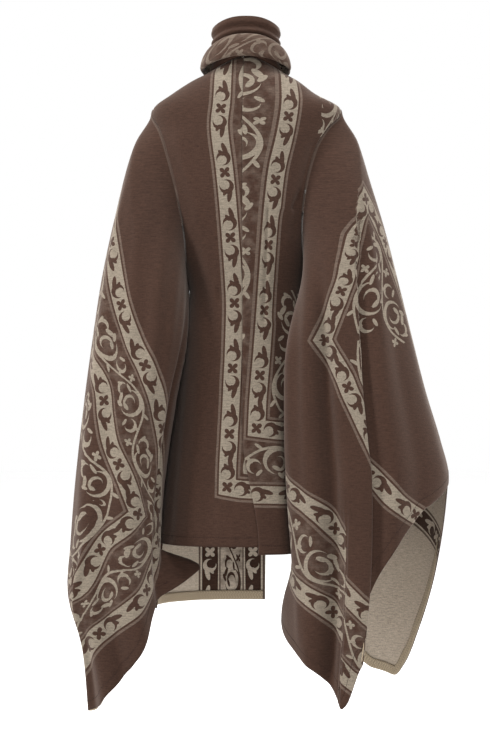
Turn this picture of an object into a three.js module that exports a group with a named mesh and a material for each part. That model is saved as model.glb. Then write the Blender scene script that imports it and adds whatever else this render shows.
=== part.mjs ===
// A wool coat with very wide cape sleeves, worn and hanging from the shoulders.
// Millimetres, +Z up, the coat's back faces +Y and its wearer's left is +X.
// The origin is the middle of the neck, level with the tops of the shoulders.
import * as THREE from 'three';

// ---- cloth ----
const CLOTH = 2.5;            // thickness of the felted wool
const TAPE = 1.2;             // thickness of the binding tape
const SEAM_GAP = 0.3;         // room between pieces at a seam
const LAP = 5.0;              // how far an upper layer stands off the one below it
const TAPE_WIDTH = 22;
const TAPE_GAP = 0.7;         // a tape's room to the cloth it lies on

// ---- body ----
const SHOULDER_Z = -72;       // outer end of the shoulder seam
const UNDERARM_Z = -473;
const NECK_SIDE_Z = 8;        // neckline at the shoulder seams
const NECK_BACK_RISE = 28;
const NECK_FRONT_DROP = 6;
const BODY_ROUND = 2.4;       // 2 is an ellipse, more is squarer
const CENTRE_BACK_X = 8;      // the centre back seam
const VENT_TOP_Z = -770;
const VENT_UNDERLAP_X = -46;  // edge of the left back, under the right back, in the vent
const VENT_EDGE_X = -26;      // edge of the right back at the hem
const FRONT_EDGE_X = 42;      // each front reaches this far past the centre
const BACK_LEFT_HEM_Z = -1028;
const BACK_RIGHT_HEM_Z = -1044;
const FRONT_LEFT_HEM_Z = -1176;
const FRONT_RIGHT_HEM_Z = -1062;
const VENT_TURN = 30;         // height over which the left back's edge turns into the underlap
const VENT_DRIFT = 240;       // and the right back's edge drifts to the vent's own edge
const VENT_LAP = { above: 70, blend: 50, edge: 124, blendAngle: 14 };
const FRONT_LAP = { edge: 228, blendAngle: 14 };

// Half widths to the left and right, depths to the back and front, and the angle
// from the side at which the armhole edge lies, at each height.
const BODY = [
  { z: 42, left: 50, right: 50, back: 56, front: 56, armhole: 0 },
  { z: 25, left: 64, right: 64, back: 60, front: 58, armhole: 0 },
  { z: 8, left: 82, right: 82, back: 67, front: 62, armhole: 0 },
  { z: -12, left: 121, right: 117, back: 78, front: 71, armhole: 0 },
  { z: -40, left: 164, right: 154, back: 91, front: 83, armhole: 0 },
  { z: -72, left: 205, right: 209, back: 100, front: 92, armhole: 0 },
  { z: -120, left: 203, right: 190, back: 108, front: 102, armhole: 22 },
  { z: -165, left: 198, right: 172, back: 113, front: 108, armhole: 30 },
  { z: -277, left: 177, right: 150, back: 118, front: 114, armhole: 36 },
  { z: -385, left: 147, right: 137, back: 114, front: 112, armhole: 28 },
  { z: -473, left: 125, right: 127, back: 108, front: 106, armhole: 0 },
  { z: -561, left: 136, right: 131, back: 106, front: 106, armhole: 0 },
  { z: -715, left: 156, right: 141, back: 115, front: 114, armhole: 0 },
  { z: -847, left: 173, right: 152, back: 127, front: 124, armhole: 0 },
  { z: -979, left: 190, right: 164, back: 139, front: 134, armhole: 0 },
  { z: -1056, left: 199, right: 171, back: 145, front: 141, armhole: 0 },
  { z: -1200, left: 211, right: 180, back: 152, front: 150, armhole: 0 },
];
const BODY_LEVELS = [8, -12, -40, -72, -120, -165, -220, -277, -330, -385, -430, -473,
  -561, -645, -715, -770, -800, -870, -950, -1028];
const BODY_COLUMNS = 8;

// ---- wings: the cape sleeves ----
const WING_ROUND = 2.3;
const WING_BLEND = 210;       // height over which a wing leaves the underarm for its own section
const SHOULDER_BLEND = 70;    // and the same at the shoulder
const SHOULDER_EASE = 2;      // extra room where a wing turns over the end of the shoulder
const WING_CLEAR = 12;        // how far a wing hangs off the body
const CLEAR_BELOW_BACK = 90;  // a wing stays outside the body this far below its back hem
const CLEAR_BELOW_FRONT = 35; // and below the longer front's hem
const TUCK_SHARE = 0.06;      // the share of a wing's height that curls in at its hem
const CLOSEST_COLUMNS = 3.5;  // in degrees
const WING_LEVELS = [0, 0.03, 0.08, 0.15, 0.24, 0.34, 0.44, 0.55, 0.66, 0.77, 0.87, 0.95, 1];
const WING_COLUMN = 12;       // widest column of facets, in degrees

// Section of each wing by height: x of its inner and outer sides, measured
// outward from the middle of the coat, and y of its back and front.
const LEFT_SECTIONS = [
  { z: -72, inner: 120, outer: 206, back: 52, front: -50 },
  { z: -165, inner: 118, outer: 251, back: 95, front: -90 },
  { z: -319, inner: 112, outer: 291, back: 128, front: -120 },
  { z: -451, inner: 110, outer: 319, back: 146, front: -138 },
  { z: -583, inner: 115, outer: 340, back: 160, front: -150 },
  { z: -715, inner: 125, outer: 358, back: 172, front: -158 },
  { z: -891, inner: 140, outer: 377, back: 184, front: -166 },
  { z: -1023, inner: 150, outer: 387, back: 190, front: -170 },
  { z: -1137, inner: 152, outer: 393, back: 192, front: -172 },
  { z: -1250, inner: 144, outer: 362, back: 190, front: -172 },
  { z: -1390, inner: 122, outer: 342, back: 186, front: -170 },
];
const RIGHT_SECTIONS = [
  { z: -72, inner: 120, outer: 212, back: 55, front: -50 },
  { z: -143, inner: 112, outer: 246, back: 92, front: -84 },
  { z: -231, inner: 100, outer: 273, back: 122, front: -106 },
  { z: -341, inner: 84, outer: 306, back: 150, front: -128 },
  { z: -451, inner: 74, outer: 334, back: 168, front: -142 },
  { z: -561, inner: 66, outer: 361, back: 184, front: -152 },
  { z: -693, inner: 60, outer: 394, back: 200, front: -160 },
  { z: -803, inner: 58, outer: 427, back: 210, front: -166 },
  { z: -884, inner: 60, outer: 445, back: 215, front: -170 },
  { z: -1100, inner: 74, outer: 428, back: 220, front: -174 },
  { z: -1260, inner: 78, outer: 404, back: 218, front: -174 },
  { z: -1390, inner: 80, outer: 384, back: 214, front: -174 },
];

// Height of each wing's hem by angle round the wing: 0 is the outer side,
// 90 the back, 180 the side against the body, 270 the front. Where the hem
// curls in under the body, tuck says how far.
const LEFT_HEM = [
  { at: 0, z: -1327, tuck: 0 },
  { at: 10, z: -1364, tuck: 0 },
  { at: 27, z: -1386, tuck: 0 },
  { at: 53, z: -1362, tuck: 0 },
  { at: 80, z: -1310, tuck: 0 },
  { at: 105, z: -1250, tuck: 0 },
  { at: 118, z: -1208, tuck: 0 },
  { at: 130, z: -1170, tuck: 0 },
  { at: 141, z: -1140, tuck: 0 },
  { at: 152, z: -1112, tuck: 40 },
  { at: 163, z: -1072, tuck: 98 },
  { at: 176, z: -1056, tuck: 0 },
  { at: 198, z: -1070, tuck: 0 },
  { at: 225, z: -1120, tuck: 0 },
  { at: 270, z: -1235, tuck: 0 },
  { at: 318, z: -1345, tuck: 0 },
  { at: 345, z: -1300, tuck: 0 },
];
const RIGHT_HEM = [
  { at: 0, z: -884, tuck: 0 },
  { at: 25, z: -908, tuck: 0 },
  { at: 51, z: -957, tuck: 0 },
  { at: 67, z: -1021, tuck: 0 },
  { at: 79, z: -1100, tuck: 0 },
  { at: 86, z: -1190, tuck: 0 },
  { at: 92, z: -1290, tuck: 0 },
  { at: 98, z: -1372, tuck: 0 },
  { at: 106, z: -1334, tuck: 0 },
  { at: 123, z: -1288, tuck: 0 },
  { at: 145, z: -1256, tuck: 0 },
  { at: 165, z: -1234, tuck: 0 },
  { at: 180, z: -1202, tuck: 0 },
  { at: 200, z: -1150, tuck: 0 },
  { at: 225, z: -1200, tuck: 0 },
  { at: 270, z: -1302, tuck: 0 },
  { at: 286, z: -1335, tuck: 0 },
  { at: 300, z: -1350, tuck: 0 },
  { at: 312, z: -1325, tuck: 0 },
  { at: 324, z: -1268, tuck: 0 },
  { at: 337, z: -1180, tuck: 0 },
  { at: 348, z: -1090, tuck: 0 },
  { at: 356, z: -970, tuck: 0 },
];

// The largest folds: the angle each has at the top and at the hem, its half
// width in degrees, and how far it stands out of the section at the hem.
const LEFT_FOLDS = [
  { top: 30, hem: 62, half: 13, stand: 12 },
  { top: 95, hem: 112, half: 12, stand: 16 },
  { top: 60, hem: 88, half: 12, stand: -14 },
  { top: 290, hem: 285, half: 14, stand: 16 },
  { top: 320, hem: 316, half: 13, stand: -14 },
  { top: 250, hem: 248, half: 13, stand: -12 },
];
const RIGHT_FOLDS = [
  { top: 56, hem: 90, half: 12, stand: 24 },
  { top: 34, hem: 68, half: 13, stand: -22 },
  { top: 96, hem: 118, half: 12, stand: -10 },
  { top: 290, hem: 284, half: 14, stand: 18 },
  { top: 316, hem: 312, half: 13, stand: -16 },
  { top: 252, hem: 246, half: 13, stand: -14 },
];

// ---- collar ----
const COLLAR_COLUMNS = 28;
const COLLAR_FRONT_GAP = 9;   // degrees between the fall's ends and the centre front
const COLLAR_END_X = 8;       // the stand's ends stop this far from the centre front
const NECK_HALF = 82;         // the neckline's own half width and depth
const NECK_DEPTH = 67;
// The stand above the neckline: half width, depth, and height at its back, sides and front.
const STAND = [
  { half: 74, depth: 61, back: 46, side: 28, front: 26 },
  { half: 73, depth: 60, back: 62, side: 46, front: 42 },
  { half: 73, depth: 61, back: 98, side: 78, front: 72 },
  { half: 74, depth: 63, back: 124, side: 104, front: 98 },
];
// The fall, folded over the stand: up beside it, over the ridge and down.
const FALL = [
  { half: 74.8, depth: 62.2, back: 50, side: 33, front: 31 },
  { half: 74.8, depth: 62.2, back: 62, side: 43, front: 37 },
  { half: 80, depth: 67, back: 80, side: 54, front: 46 },
  { half: 84, depth: 72, back: 84, side: 57, front: 48 },
  { half: 90, depth: 78, back: 76, side: 51, front: 42 },
  { half: 97, depth: 82, back: 58, side: 36, front: 25 },
  { half: 101, depth: 83, back: 40, side: 18, front: 6 },
];
const FALL_FRONT_FLARE = 9;   // how much wider the fall stands at its front corners

// ---- colours ----
const WOOL = { color: 0x4b382f, roughness: 0.95, metalness: 0 };
const TAPE_FINISH = { color: 0x8a7b6b, roughness: 0.9, metalness: 0 };

// ---- small helpers ----
const RAD = Math.PI / 180;
const mix = (a, b, t) => a + (b - a) * t;
const clamp = (t) => Math.min(1, Math.max(0, t));
const smooth = (t) => clamp(t) ** 2 * (3 - 2 * clamp(t));
const signedPower = (value, power) => Math.sign(value) * Math.abs(value) ** power;

// A smooth value between a table's rows, which are ordered by `key`, up or down.
function between(table, key, column, at) {
  const rising = table[table.length - 1][key] > table[0][key];
  const place = (row) => (rising ? row[key] : -row[key]);
  const want = rising ? at : -at;
  let i = 0;
  while (i < table.length - 2 && place(table[i + 1]) < want) i += 1;
  const [a, b] = [table[i], table[i + 1]];
  const before = table[Math.max(0, i - 1)];
  const after = table[Math.min(table.length - 1, i + 2)];
  const width = place(b) - place(a);
  const t = clamp((want - place(a)) / width);
  const slope = (p, q) => (q === p ? 0 : ((q[column] - p[column]) / (place(q) - place(p))) * width);
  const [m0, m1] = [slope(before, b), slope(a, after)];
  const t2 = t * t;
  const t3 = t2 * t;
  return (2 * t3 - 3 * t2 + 1) * a[column] + (t3 - 2 * t2 + t) * m0
    + (3 * t2 - 2 * t3) * b[column] + (t3 - t2) * m1;
}

// A straight-edged value round a wing, from rows ordered by angle.
function around(table, column, angle) {
  const turn = ((angle % 360) + 360) % 360;
  let i = table.length - 1;
  while (i > 0 && table[i].at > turn) i -= 1;
  const next = table[(i + 1) % table.length];
  const span = (next.at - table[i].at + 360) % 360;
  return mix(table[i][column], next[column], (turn - table[i].at) / span);
}

// ---- walls ----
// The direction of a line of points at its k-th, curving on at its ends.
function slope(k, count, closesRound, at) {
  if (closesRound || (k > 0 && k < count - 1)) {
    return new THREE.Vector3().subVectors(at(k + 1), at(k - 1)).normalize();
  }
  const inward = k === 0 ? 1 : -1;
  return at(k + inward).clone().multiplyScalar(4).addScaledVector(at(k), -3)
    .sub(at(k + 2 * inward)).multiplyScalar(inward).normalize();
}

// The outward direction of a grid's surface at one of its points.
function outwardAt(grid, r, c, closesRound) {
  const [rows, columns] = [grid.length, grid[0].length];
  const at = (row, column) => grid[Math.min(rows - 1, Math.max(0, row))][
    closesRound ? (column + columns) % columns : Math.min(columns - 1, Math.max(0, column))];
  const across = slope(c, columns, closesRound, (k) => at(r, k));
  const down = slope(r, rows, false, (k) => at(k, c));
  return new THREE.Vector3().crossVectors(down, across).normalize();
}

// A closed wall from a grid of points on its outer face, rows from top to
// bottom. A grid that closes round joins its last column to its first.
function wall(grid, thickness, closesRound) {
  const rows = grid.length;
  const columns = grid[0].length;
  const points = grid.flatMap((row, r) => row.flatMap((point, c) => {
    const outward = outwardAt(grid, r, c, closesRound);
    return [point.clone(), point.clone().addScaledVector(outward, -thickness)];
  }));
  const index = (r, c, inner) => 2 * (r * columns + (c % columns)) + inner;
  const faces = [];
  const quad = (a, b, c, d) => faces.push(a, b, c, a, c, d);
  const spans = closesRound ? columns : columns - 1;
  for (let r = 0; r < rows - 1; r += 1) {
    for (let c = 0; c < spans; c += 1) {
      quad(index(r, c, 0), index(r + 1, c, 0), index(r + 1, c + 1, 0), index(r, c + 1, 0));
      quad(index(r, c, 1), index(r, c + 1, 1), index(r + 1, c + 1, 1), index(r + 1, c, 1));
    }
  }
  for (let c = 0; c < spans; c += 1) {
    quad(index(0, c, 0), index(0, c + 1, 0), index(0, c + 1, 1), index(0, c, 1));
    const last = rows - 1;
    quad(index(last, c, 0), index(last, c, 1), index(last, c + 1, 1), index(last, c + 1, 0));
  }
  if (!closesRound) {
    for (let r = 0; r < rows - 1; r += 1) {
      quad(index(r, 0, 0), index(r, 0, 1), index(r + 1, 0, 1), index(r + 1, 0, 0));
      const end = columns - 1;
      quad(index(r, end, 0), index(r + 1, end, 0), index(r + 1, end, 1), index(r, end, 1));
    }
  }
  const geometry = new THREE.BufferGeometry();
  geometry.setAttribute('position', new THREE.Float32BufferAttribute(
    points.flatMap((p) => [p.x, p.y, p.z]), 3));
  geometry.setIndex(faces);
  return geometry;
}

// The lowest `width` of a wall, as a strip `depth` in from its outer face.
function stripInside(grid, depth, width, closesRound) {
  const [above, hem] = [grid.length - 2, grid.length - 1].map((r) => grid[r].map(
    (point, c) => point.clone().addScaledVector(outwardAt(grid, r, c, closesRound), -depth)));
  const upper = hem.map((point, c) => point.clone().lerp(
    above[c], Math.min(0.9, width / point.distanceTo(above[c]))));
  return [upper, hem];
}

// A grid of points turned so that its columns run the other way.
const reversed = (grid) => grid.map((row) => [...row].reverse());

// ---- body ----
// A point on the body: 0 degrees is its left side, 90 its back, 180 its right, 270 its front.
function bodyPoint(angle, z, out = 0) {
  const [c, s] = [Math.cos(angle * RAD), Math.sin(angle * RAD)];
  const half = between(BODY, 'z', c >= 0 ? 'left' : 'right', z);
  const depth = between(BODY, 'z', s >= 0 ? 'back' : 'front', z);
  const power = 2 / BODY_ROUND;
  return new THREE.Vector3(
    (half + out) * signedPower(c, power), (depth + out) * signedPower(s, power), z);
}

function neckline(angle) {
  const rise = Math.sin(angle * RAD) >= 0 ? NECK_BACK_RISE : -NECK_FRONT_DROP;
  return NECK_SIDE_Z + rise * Math.sin(angle * RAD) ** 2;
}

const armhole = (z) => between(BODY, 'z', 'armhole', z);

// The angle, from 0 to 180, at which the body's section is at this x.
function angleAtX(x, z) {
  const half = between(BODY, 'z', x >= 0 ? 'left' : 'right', z);
  return Math.acos(signedPower(x / half, BODY_ROUND / 2)) / RAD;
}

// The angle from the side of a back or front panel's own side edge.
function sideAngle(z) {
  const depth = between(BODY, 'z', 'back', z);
  return armhole(z) + Math.asin((SEAM_GAP / 2 / depth) ** (BODY_ROUND / 2)) / RAD;
}

// A body panel runs from its centre edge to its side edge, both angles by height.
function bodyPanel({ centre, side, hem, out }) {
  const topLevel = BODY_LEVELS[0];
  const hemLevel = BODY_LEVELS[BODY_LEVELS.length - 1];
  return BODY_LEVELS.map((level) => {
    const above = clamp((level - UNDERARM_Z) / (topLevel - UNDERARM_Z));
    const below = clamp((UNDERARM_Z - level) / (UNDERARM_Z - hemLevel));
    const row = [];
    for (let c = 0; c <= BODY_COLUMNS; c += 1) {
      const share = c / BODY_COLUMNS;
      const topAngle = mix(centre(topLevel), side(topLevel), share);
      const angle = mix(centre(level), side(level), share);
      const z = level + above * (neckline(topAngle) - topLevel) + below * (hem - hemLevel);
      row.push(bodyPoint(angle, z, out(angle, z)));
    }
    return row;
  });
}

function backLeft() {
  const edge = (z) => mix(
    CENTRE_BACK_X + SEAM_GAP / 2, VENT_UNDERLAP_X, smooth((VENT_TOP_Z - z) / VENT_TURN));
  return reversed(bodyPanel({
    centre: (z) => angleAtX(edge(z), z),
    side: sideAngle,
    hem: BACK_LEFT_HEM_Z,
    out: () => 0,
  }));
}

function backRight() {
  const { above, blend, edge: lapEdge, blendAngle } = VENT_LAP;
  const edge = (z) => mix(
    CENTRE_BACK_X - SEAM_GAP / 2, VENT_EDGE_X, smooth((VENT_TOP_Z - z) / VENT_DRIFT));
  return bodyPanel({
    centre: (z) => angleAtX(edge(z), z),
    side: (z) => 180 - sideAngle(z),
    hem: BACK_RIGHT_HEM_Z,
    out: (angle, z) => LAP * smooth((VENT_TOP_Z + above - z) / blend)
      * smooth((lapEdge - angle) / blendAngle),
  });
}

function frontLeft() {
  return bodyPanel({
    centre: (z) => 360 - angleAtX(-FRONT_EDGE_X, z),
    side: (z) => 360 - sideAngle(z),
    hem: FRONT_LEFT_HEM_Z,
    out: () => 0,
  });
}

function frontRight() {
  return reversed(bodyPanel({
    centre: (z) => 360 - angleAtX(FRONT_EDGE_X, z),
    side: (z) => 180 + sideAngle(z),
    hem: FRONT_RIGHT_HEM_Z,
    out: (angle) => LAP * smooth((angle - FRONT_LAP.edge) / FRONT_LAP.blendAngle),
  }));
}

// ---- wings ----
const WINGS = {
  left: { sign: 1, sections: LEFT_SECTIONS, hem: LEFT_HEM, folds: LEFT_FOLDS },
  right: { sign: -1, sections: RIGHT_SECTIONS, hem: RIGHT_HEM, folds: RIGHT_FOLDS },
};

// Height on the armhole seam for an angle round the wing.
function armholeHeight(angle) {
  return mix(SHOULDER_Z, UNDERARM_Z, (1 - Math.cos(angle * RAD)) / 2);
}

// The wing's own section at a height, with its folds.
function sectionPoint({ sections, folds }, angle, z) {
  const size = (column) => between(sections, 'z', column, z);
  const [inner, outer, back, front] = ['inner', 'outer', 'back', 'front'].map(size);
  const power = 2 / WING_ROUND;
  const [c, s] = [Math.cos(angle * RAD), Math.sin(angle * RAD)];
  const depth = (SHOULDER_Z - z) / (SHOULDER_Z - sections[sections.length - 1].z);
  let stand = 0;
  for (const fold of folds) {
    const away = (angle - mix(fold.top, fold.hem, depth)) / fold.half;
    stand += fold.stand * depth ** 0.8 * Math.exp(-away * away);
  }
  return new THREE.Vector2(
    mix(inner, outer, 0.5) + ((outer - inner) / 2) * signedPower(c, power) + stand * c,
    mix(back, front, 0.5) + ((back - front) / 2) * signedPower(s, power) + stand * s);
}

// Moves a point that lies within the body's oval out to `clear` from it.
function clearOfBody(point, z, sign, clear) {
  const hemBehind = point.y > 0 ? BACK_RIGHT_HEM_Z - CLEAR_BELOW_BACK : -Infinity;
  if (z < Math.max(hemBehind, FRONT_LEFT_HEM_Z - CLEAR_BELOW_FRONT)) return point;
  const half = between(BODY, 'z', sign > 0 ? 'left' : 'right', z) + clear;
  const depth = between(BODY, 'z', point.y >= 0 ? 'back' : 'front', z) + clear;
  const reach = (Math.abs(point.x / half) ** BODY_ROUND
    + Math.abs(point.y / depth) ** BODY_ROUND) ** (1 / BODY_ROUND);
  return reach < 1 ? point.multiplyScalar(1 / reach) : point;
}

// A point on the body's armhole edge, between the levels that its facets use.
function armholeEdge(angle, sign) {
  const z = armholeHeight(angle);
  const back = Math.sin(angle * RAD) >= 0 ? 1 : -1;
  const shoulder = smooth((Math.cos(angle * RAD) - 0.4) / 0.6);
  const out = SEAM_GAP * 2 + SHOULDER_EASE * shoulder;
  const at = (level) => bodyPoint(
    sign > 0 ? back * armhole(level) : 180 - back * armhole(level), level, out);
  const i = BODY_LEVELS.findLastIndex((level, k) => level >= z && k < BODY_LEVELS.length - 1);
  const [high, low] = [BODY_LEVELS[i], BODY_LEVELS[i + 1]];
  return at(high).lerp(at(low), (high - z) / (high - low));
}

function wingPoint(wing, angle, share) {
  const edge = armholeEdge(angle, wing.sign);
  const z = mix(edge.z, around(wing.hem, 'z', angle), share);
  const blend = mix(WING_BLEND, SHOULDER_BLEND, Math.cos((angle * RAD) / 2) ** 4);
  const left = clamp((edge.z - z) / blend);
  const leave = 1 - (1 - left) ** 2;
  const flat = new THREE.Vector2(Math.abs(edge.x), edge.y);
  flat.lerp(sectionPoint(wing, angle, z), leave);
  if (share > 0) clearOfBody(flat, z, wing.sign, mix(SEAM_GAP * 6, WING_CLEAR, leave));
  const curl = smooth((share - 1 + TUCK_SHARE) / TUCK_SHARE) * around(wing.hem, 'tuck', angle);
  return new THREE.Vector3(wing.sign * (flat.x - curl), flat.y, z);
}

// The columns of a wing's facets: its hem's corners, the armhole's levels and what lies between.
function wingColumns(hem) {
  const levels = BODY_LEVELS.filter((z) => z < SHOULDER_Z && z > UNDERARM_Z);
  const turns = levels.map((z) => Math.acos(
    1 - (2 * (SHOULDER_Z - z)) / (SHOULDER_Z - UNDERARM_Z)) / RAD);
  const stops = [...hem.map((row) => row.at), ...turns, ...turns.map((turn) => 360 - turn), 180];
  stops.sort((a, b) => a - b);
  return stops.filter((stop, i) => i === 0 || stop - stops[i - 1] > CLOSEST_COLUMNS);
}

function wingAngles(hem) {
  const stops = wingColumns(hem);
  return stops.flatMap((stop, i) => {
    const next = i + 1 < stops.length ? stops[i + 1] : 360;
    const steps = Math.ceil((next - stop) / WING_COLUMN);
    return Array.from({ length: steps }, (_, k) => mix(stop, next, k / steps));
  });
}

function wingGrid(wing) {
  const angles = wingAngles(wing.hem);
  const grid = WING_LEVELS.map((share) => angles.map(
    (angle) => wingPoint(wing, angle, share)));
  return wing.sign > 0 ? grid : reversed(grid);
}

// ---- collar ----
// The fall's columns, round from one front end to the other.
function collarAngles() {
  return Array.from({ length: COLLAR_COLUMNS + 1 }, (_, c) => mix(
    COLLAR_FRONT_GAP - 90, 270 - COLLAR_FRONT_GAP, c / COLLAR_COLUMNS));
}

// A point on one of the collar's rings, `flare` outside the row's own size.
function collarPoint(row, angle, flare) {
  const [cosine, sine] = [Math.cos(angle * RAD), Math.sin(angle * RAD)];
  return new THREE.Vector3(
    (row.half + flare) * signedPower(cosine, 2 / BODY_ROUND),
    (row.depth + flare) * signedPower(sine, 2 / BODY_ROUND),
    mix(row.side, sine > 0 ? row.back : row.front, sine ** 2));
}

function fallGrid() {
  return FALL.map((row, r) => collarAngles().map((angle) => {
    const forward = smooth(-Math.sin(angle * RAD) * 1.6) * (r / (FALL.length - 1));
    return collarPoint(row, angle, FALL_FRONT_FLARE * forward);
  }));
}

// The neckline's points on the body, round from the left front to the right front.
function neckEdge() {
  const clearOfFront = (point) => point.y > 0 || Math.abs(point.x) > COLLAR_END_X;
  const points = [
    ...frontLeft()[0].filter((point) => point.x > 0),
    ...backLeft()[0],
    ...backRight()[0],
    ...frontRight()[0].filter((point) => point.x < 0),
  ].filter(clearOfFront);
  return points.filter((point, i) => i === 0 || point.distanceTo(points[i - 1]) > 3);
}

function standGrid() {
  const edge = neckEdge();
  const angle = (point) => Math.atan2(
    signedPower(point.y / NECK_DEPTH, BODY_ROUND / 2),
    signedPower(point.x / NECK_HALF, BODY_ROUND / 2)) / RAD;
  const rows = STAND.map((row) => edge.map((point) => collarPoint(row, angle(point), 0)));
  const seam = edge.map((point) => point.clone().setZ(point.z + SEAM_GAP * 2));
  return reversed([seam, ...rows]);
}

// ---- tapes ----
// A binding tape laid on the inner face of a wing, along its hem between two angles.
function wingTape(wing, from, to) {
  const angles = wingAngles(wing.hem);
  const columns = wing.sign > 0 ? angles : [...angles].reverse();
  const strip = stripInside(wingGrid(wing), CLOTH + TAPE_GAP, TAPE_WIDTH, true);
  return wall(strip.map((row) => row.filter(
    (_, c) => columns[c] >= from && columns[c] <= to)), TAPE, false);
}

function frontTape() {
  return wall(stripInside(frontLeft(), CLOTH + TAPE_GAP, TAPE_WIDTH, false), TAPE, false);
}

// ---- the coat ----
function piece(name, geometry, finish) {
  const mesh = new THREE.Mesh(geometry, new THREE.MeshStandardMaterial(finish));
  mesh.name = name;
  return mesh;
}

const coat = new THREE.Group();
coat.add(
  piece('back_left', wall(backLeft(), CLOTH, false), WOOL),
  piece('back_right', wall(backRight(), CLOTH, false), WOOL),
  piece('front_left', wall(frontLeft(), CLOTH, false), WOOL),
  piece('front_right', wall(frontRight(), CLOTH, false), WOOL),
  piece('wing_left', wall(wingGrid(WINGS.left), CLOTH, true), WOOL),
  piece('wing_right', wall(wingGrid(WINGS.right), CLOTH, true), WOOL),
  piece('tape_wing_left_back', wingTape(WINGS.left, 10, 141), TAPE_FINISH),
  piece('tape_wing_left_front', wingTape(WINGS.left, 205, 345), TAPE_FINISH),
  piece('tape_wing_right_back', wingTape(WINGS.right, 10, 150), TAPE_FINISH),
  piece('tape_wing_right_front', wingTape(WINGS.right, 240, 348), TAPE_FINISH),
  piece('tape_front_left', frontTape(), TAPE_FINISH),
  piece('collar_stand', wall(standGrid(), CLOTH, false), WOOL),
  piece('collar_fall', wall(fallGrid(), CLOTH, false), WOOL),
);

export default coat;
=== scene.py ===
"""The looks of a wool coat with cape sleeves, laid out as an add-on and run as a script.

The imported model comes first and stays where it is. Each operator then makes one piece of the
coat, or one group of like pieces, as fine cloth in the place of its solid. Lengths in the
tailor's tables are in millimetres and angles in degrees; meshes are in metres. The coat's back
faces +Y and its wearer's left is +X.
"""

import functools
import math
from types import SimpleNamespace

import bpy
import numpy as np
from mathutils import Matrix, Vector


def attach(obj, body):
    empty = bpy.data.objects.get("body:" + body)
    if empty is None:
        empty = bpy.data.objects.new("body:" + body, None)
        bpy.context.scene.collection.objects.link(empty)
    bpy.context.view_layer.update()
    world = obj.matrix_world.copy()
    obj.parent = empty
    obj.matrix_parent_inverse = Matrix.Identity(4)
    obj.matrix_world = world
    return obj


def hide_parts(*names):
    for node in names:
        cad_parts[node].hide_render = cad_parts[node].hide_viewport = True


bl_info = {
    "name": "Wool Coat with Cape Sleeves",
    "version": (1, 0, 0),
    "blender": (4, 5, 0),
    "location": "3D View > Sidebar > Coat",
    "description": "Makes a jacquard wool coat with very wide cape sleeves, piece by piece",
    "category": "Add Mesh",
}

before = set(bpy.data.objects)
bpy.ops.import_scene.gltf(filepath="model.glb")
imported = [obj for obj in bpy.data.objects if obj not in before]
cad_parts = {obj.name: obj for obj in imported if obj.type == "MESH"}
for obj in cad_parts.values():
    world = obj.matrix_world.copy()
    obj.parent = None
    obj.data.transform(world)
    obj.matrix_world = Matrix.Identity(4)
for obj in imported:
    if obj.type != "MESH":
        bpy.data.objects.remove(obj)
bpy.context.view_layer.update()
MM = 0.001


def table(columns, *rows):
    """Rows of a tailor's table, each with its values by column name."""
    names = columns.split()
    return [SimpleNamespace(**dict(zip(names, row))) for row in rows]


# ---- the body's pattern ----
SHOULDER_Z = -72
UNDERARM_Z = -473
NECK_SIDE_Z = 8
NECK_BACK_RISE = 28
NECK_FRONT_DROP = 6
BODY_TOP = 8
BODY_HEM_LEVEL = -1028
BODY_ROUND = 2.4
CENTRE_BACK_X = 8
VENT_TOP_Z = -770
VENT_UNDERLAP_X = -46
VENT_EDGE_X = -26
FRONT_EDGE_X = 42
BACK_LEFT_HEM_Z = -1028
BACK_RIGHT_HEM_Z = -1044
FRONT_LEFT_HEM_Z = -1176
FRONT_RIGHT_HEM_Z = -1062
VENT_TURN = 30
VENT_DRIFT = 240
SEAM_GAP = 0.3
# Where one panel laps over another: how far it stands out, the angle at which it starts on the
# back and on the front, and the degrees that it takes to do so.
LAP = 5.0
BACK_LAP_AT = 124
FRONT_LAP_AT = 228
LAP_FADE = 14
# The back's lap starts this far above the vent, and is whole this much lower.
LAP_ABOVE_VENT = 70
LAP_START = 50
# Where the columns beside a panel's edges lie, as shares of its width.
PANEL_SEAM_SHARES = (0.007, 0.016)
# How fast a panel's creases set in from its seams, by its width, and how far below the neck.
CREASE_FROM_SEAM = 12
CREASE_FROM_NECK = 60
# How fast a crease on the body sets in by its own length, and how much of that it has at its end.
CREASE_FADE = 4
CREASE_AT_END = 0.6
BODY = table(
    "z left right back front armhole",
    (42, 50, 50, 56, 56, 0), (25, 64, 64, 60, 58, 0), (8, 82, 82, 67, 62, 0),
    (-12, 121, 117, 78, 71, 0), (-40, 164, 154, 91, 83, 0), (-72, 205, 209, 100, 92, 0),
    (-120, 203, 190, 108, 102, 22), (-165, 198, 172, 113, 108, 30),
    (-277, 177, 150, 118, 114, 36), (-385, 147, 137, 114, 112, 28),
    (-473, 125, 127, 108, 106, 0), (-561, 136, 131, 106, 106, 0), (-715, 156, 141, 115, 114, 0),
    (-847, 173, 152, 127, 124, 0), (-979, 190, 164, 139, 134, 0),
    (-1056, 199, 171, 145, 141, 0), (-1200, 211, 180, 152, 150, 0),
)

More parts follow.
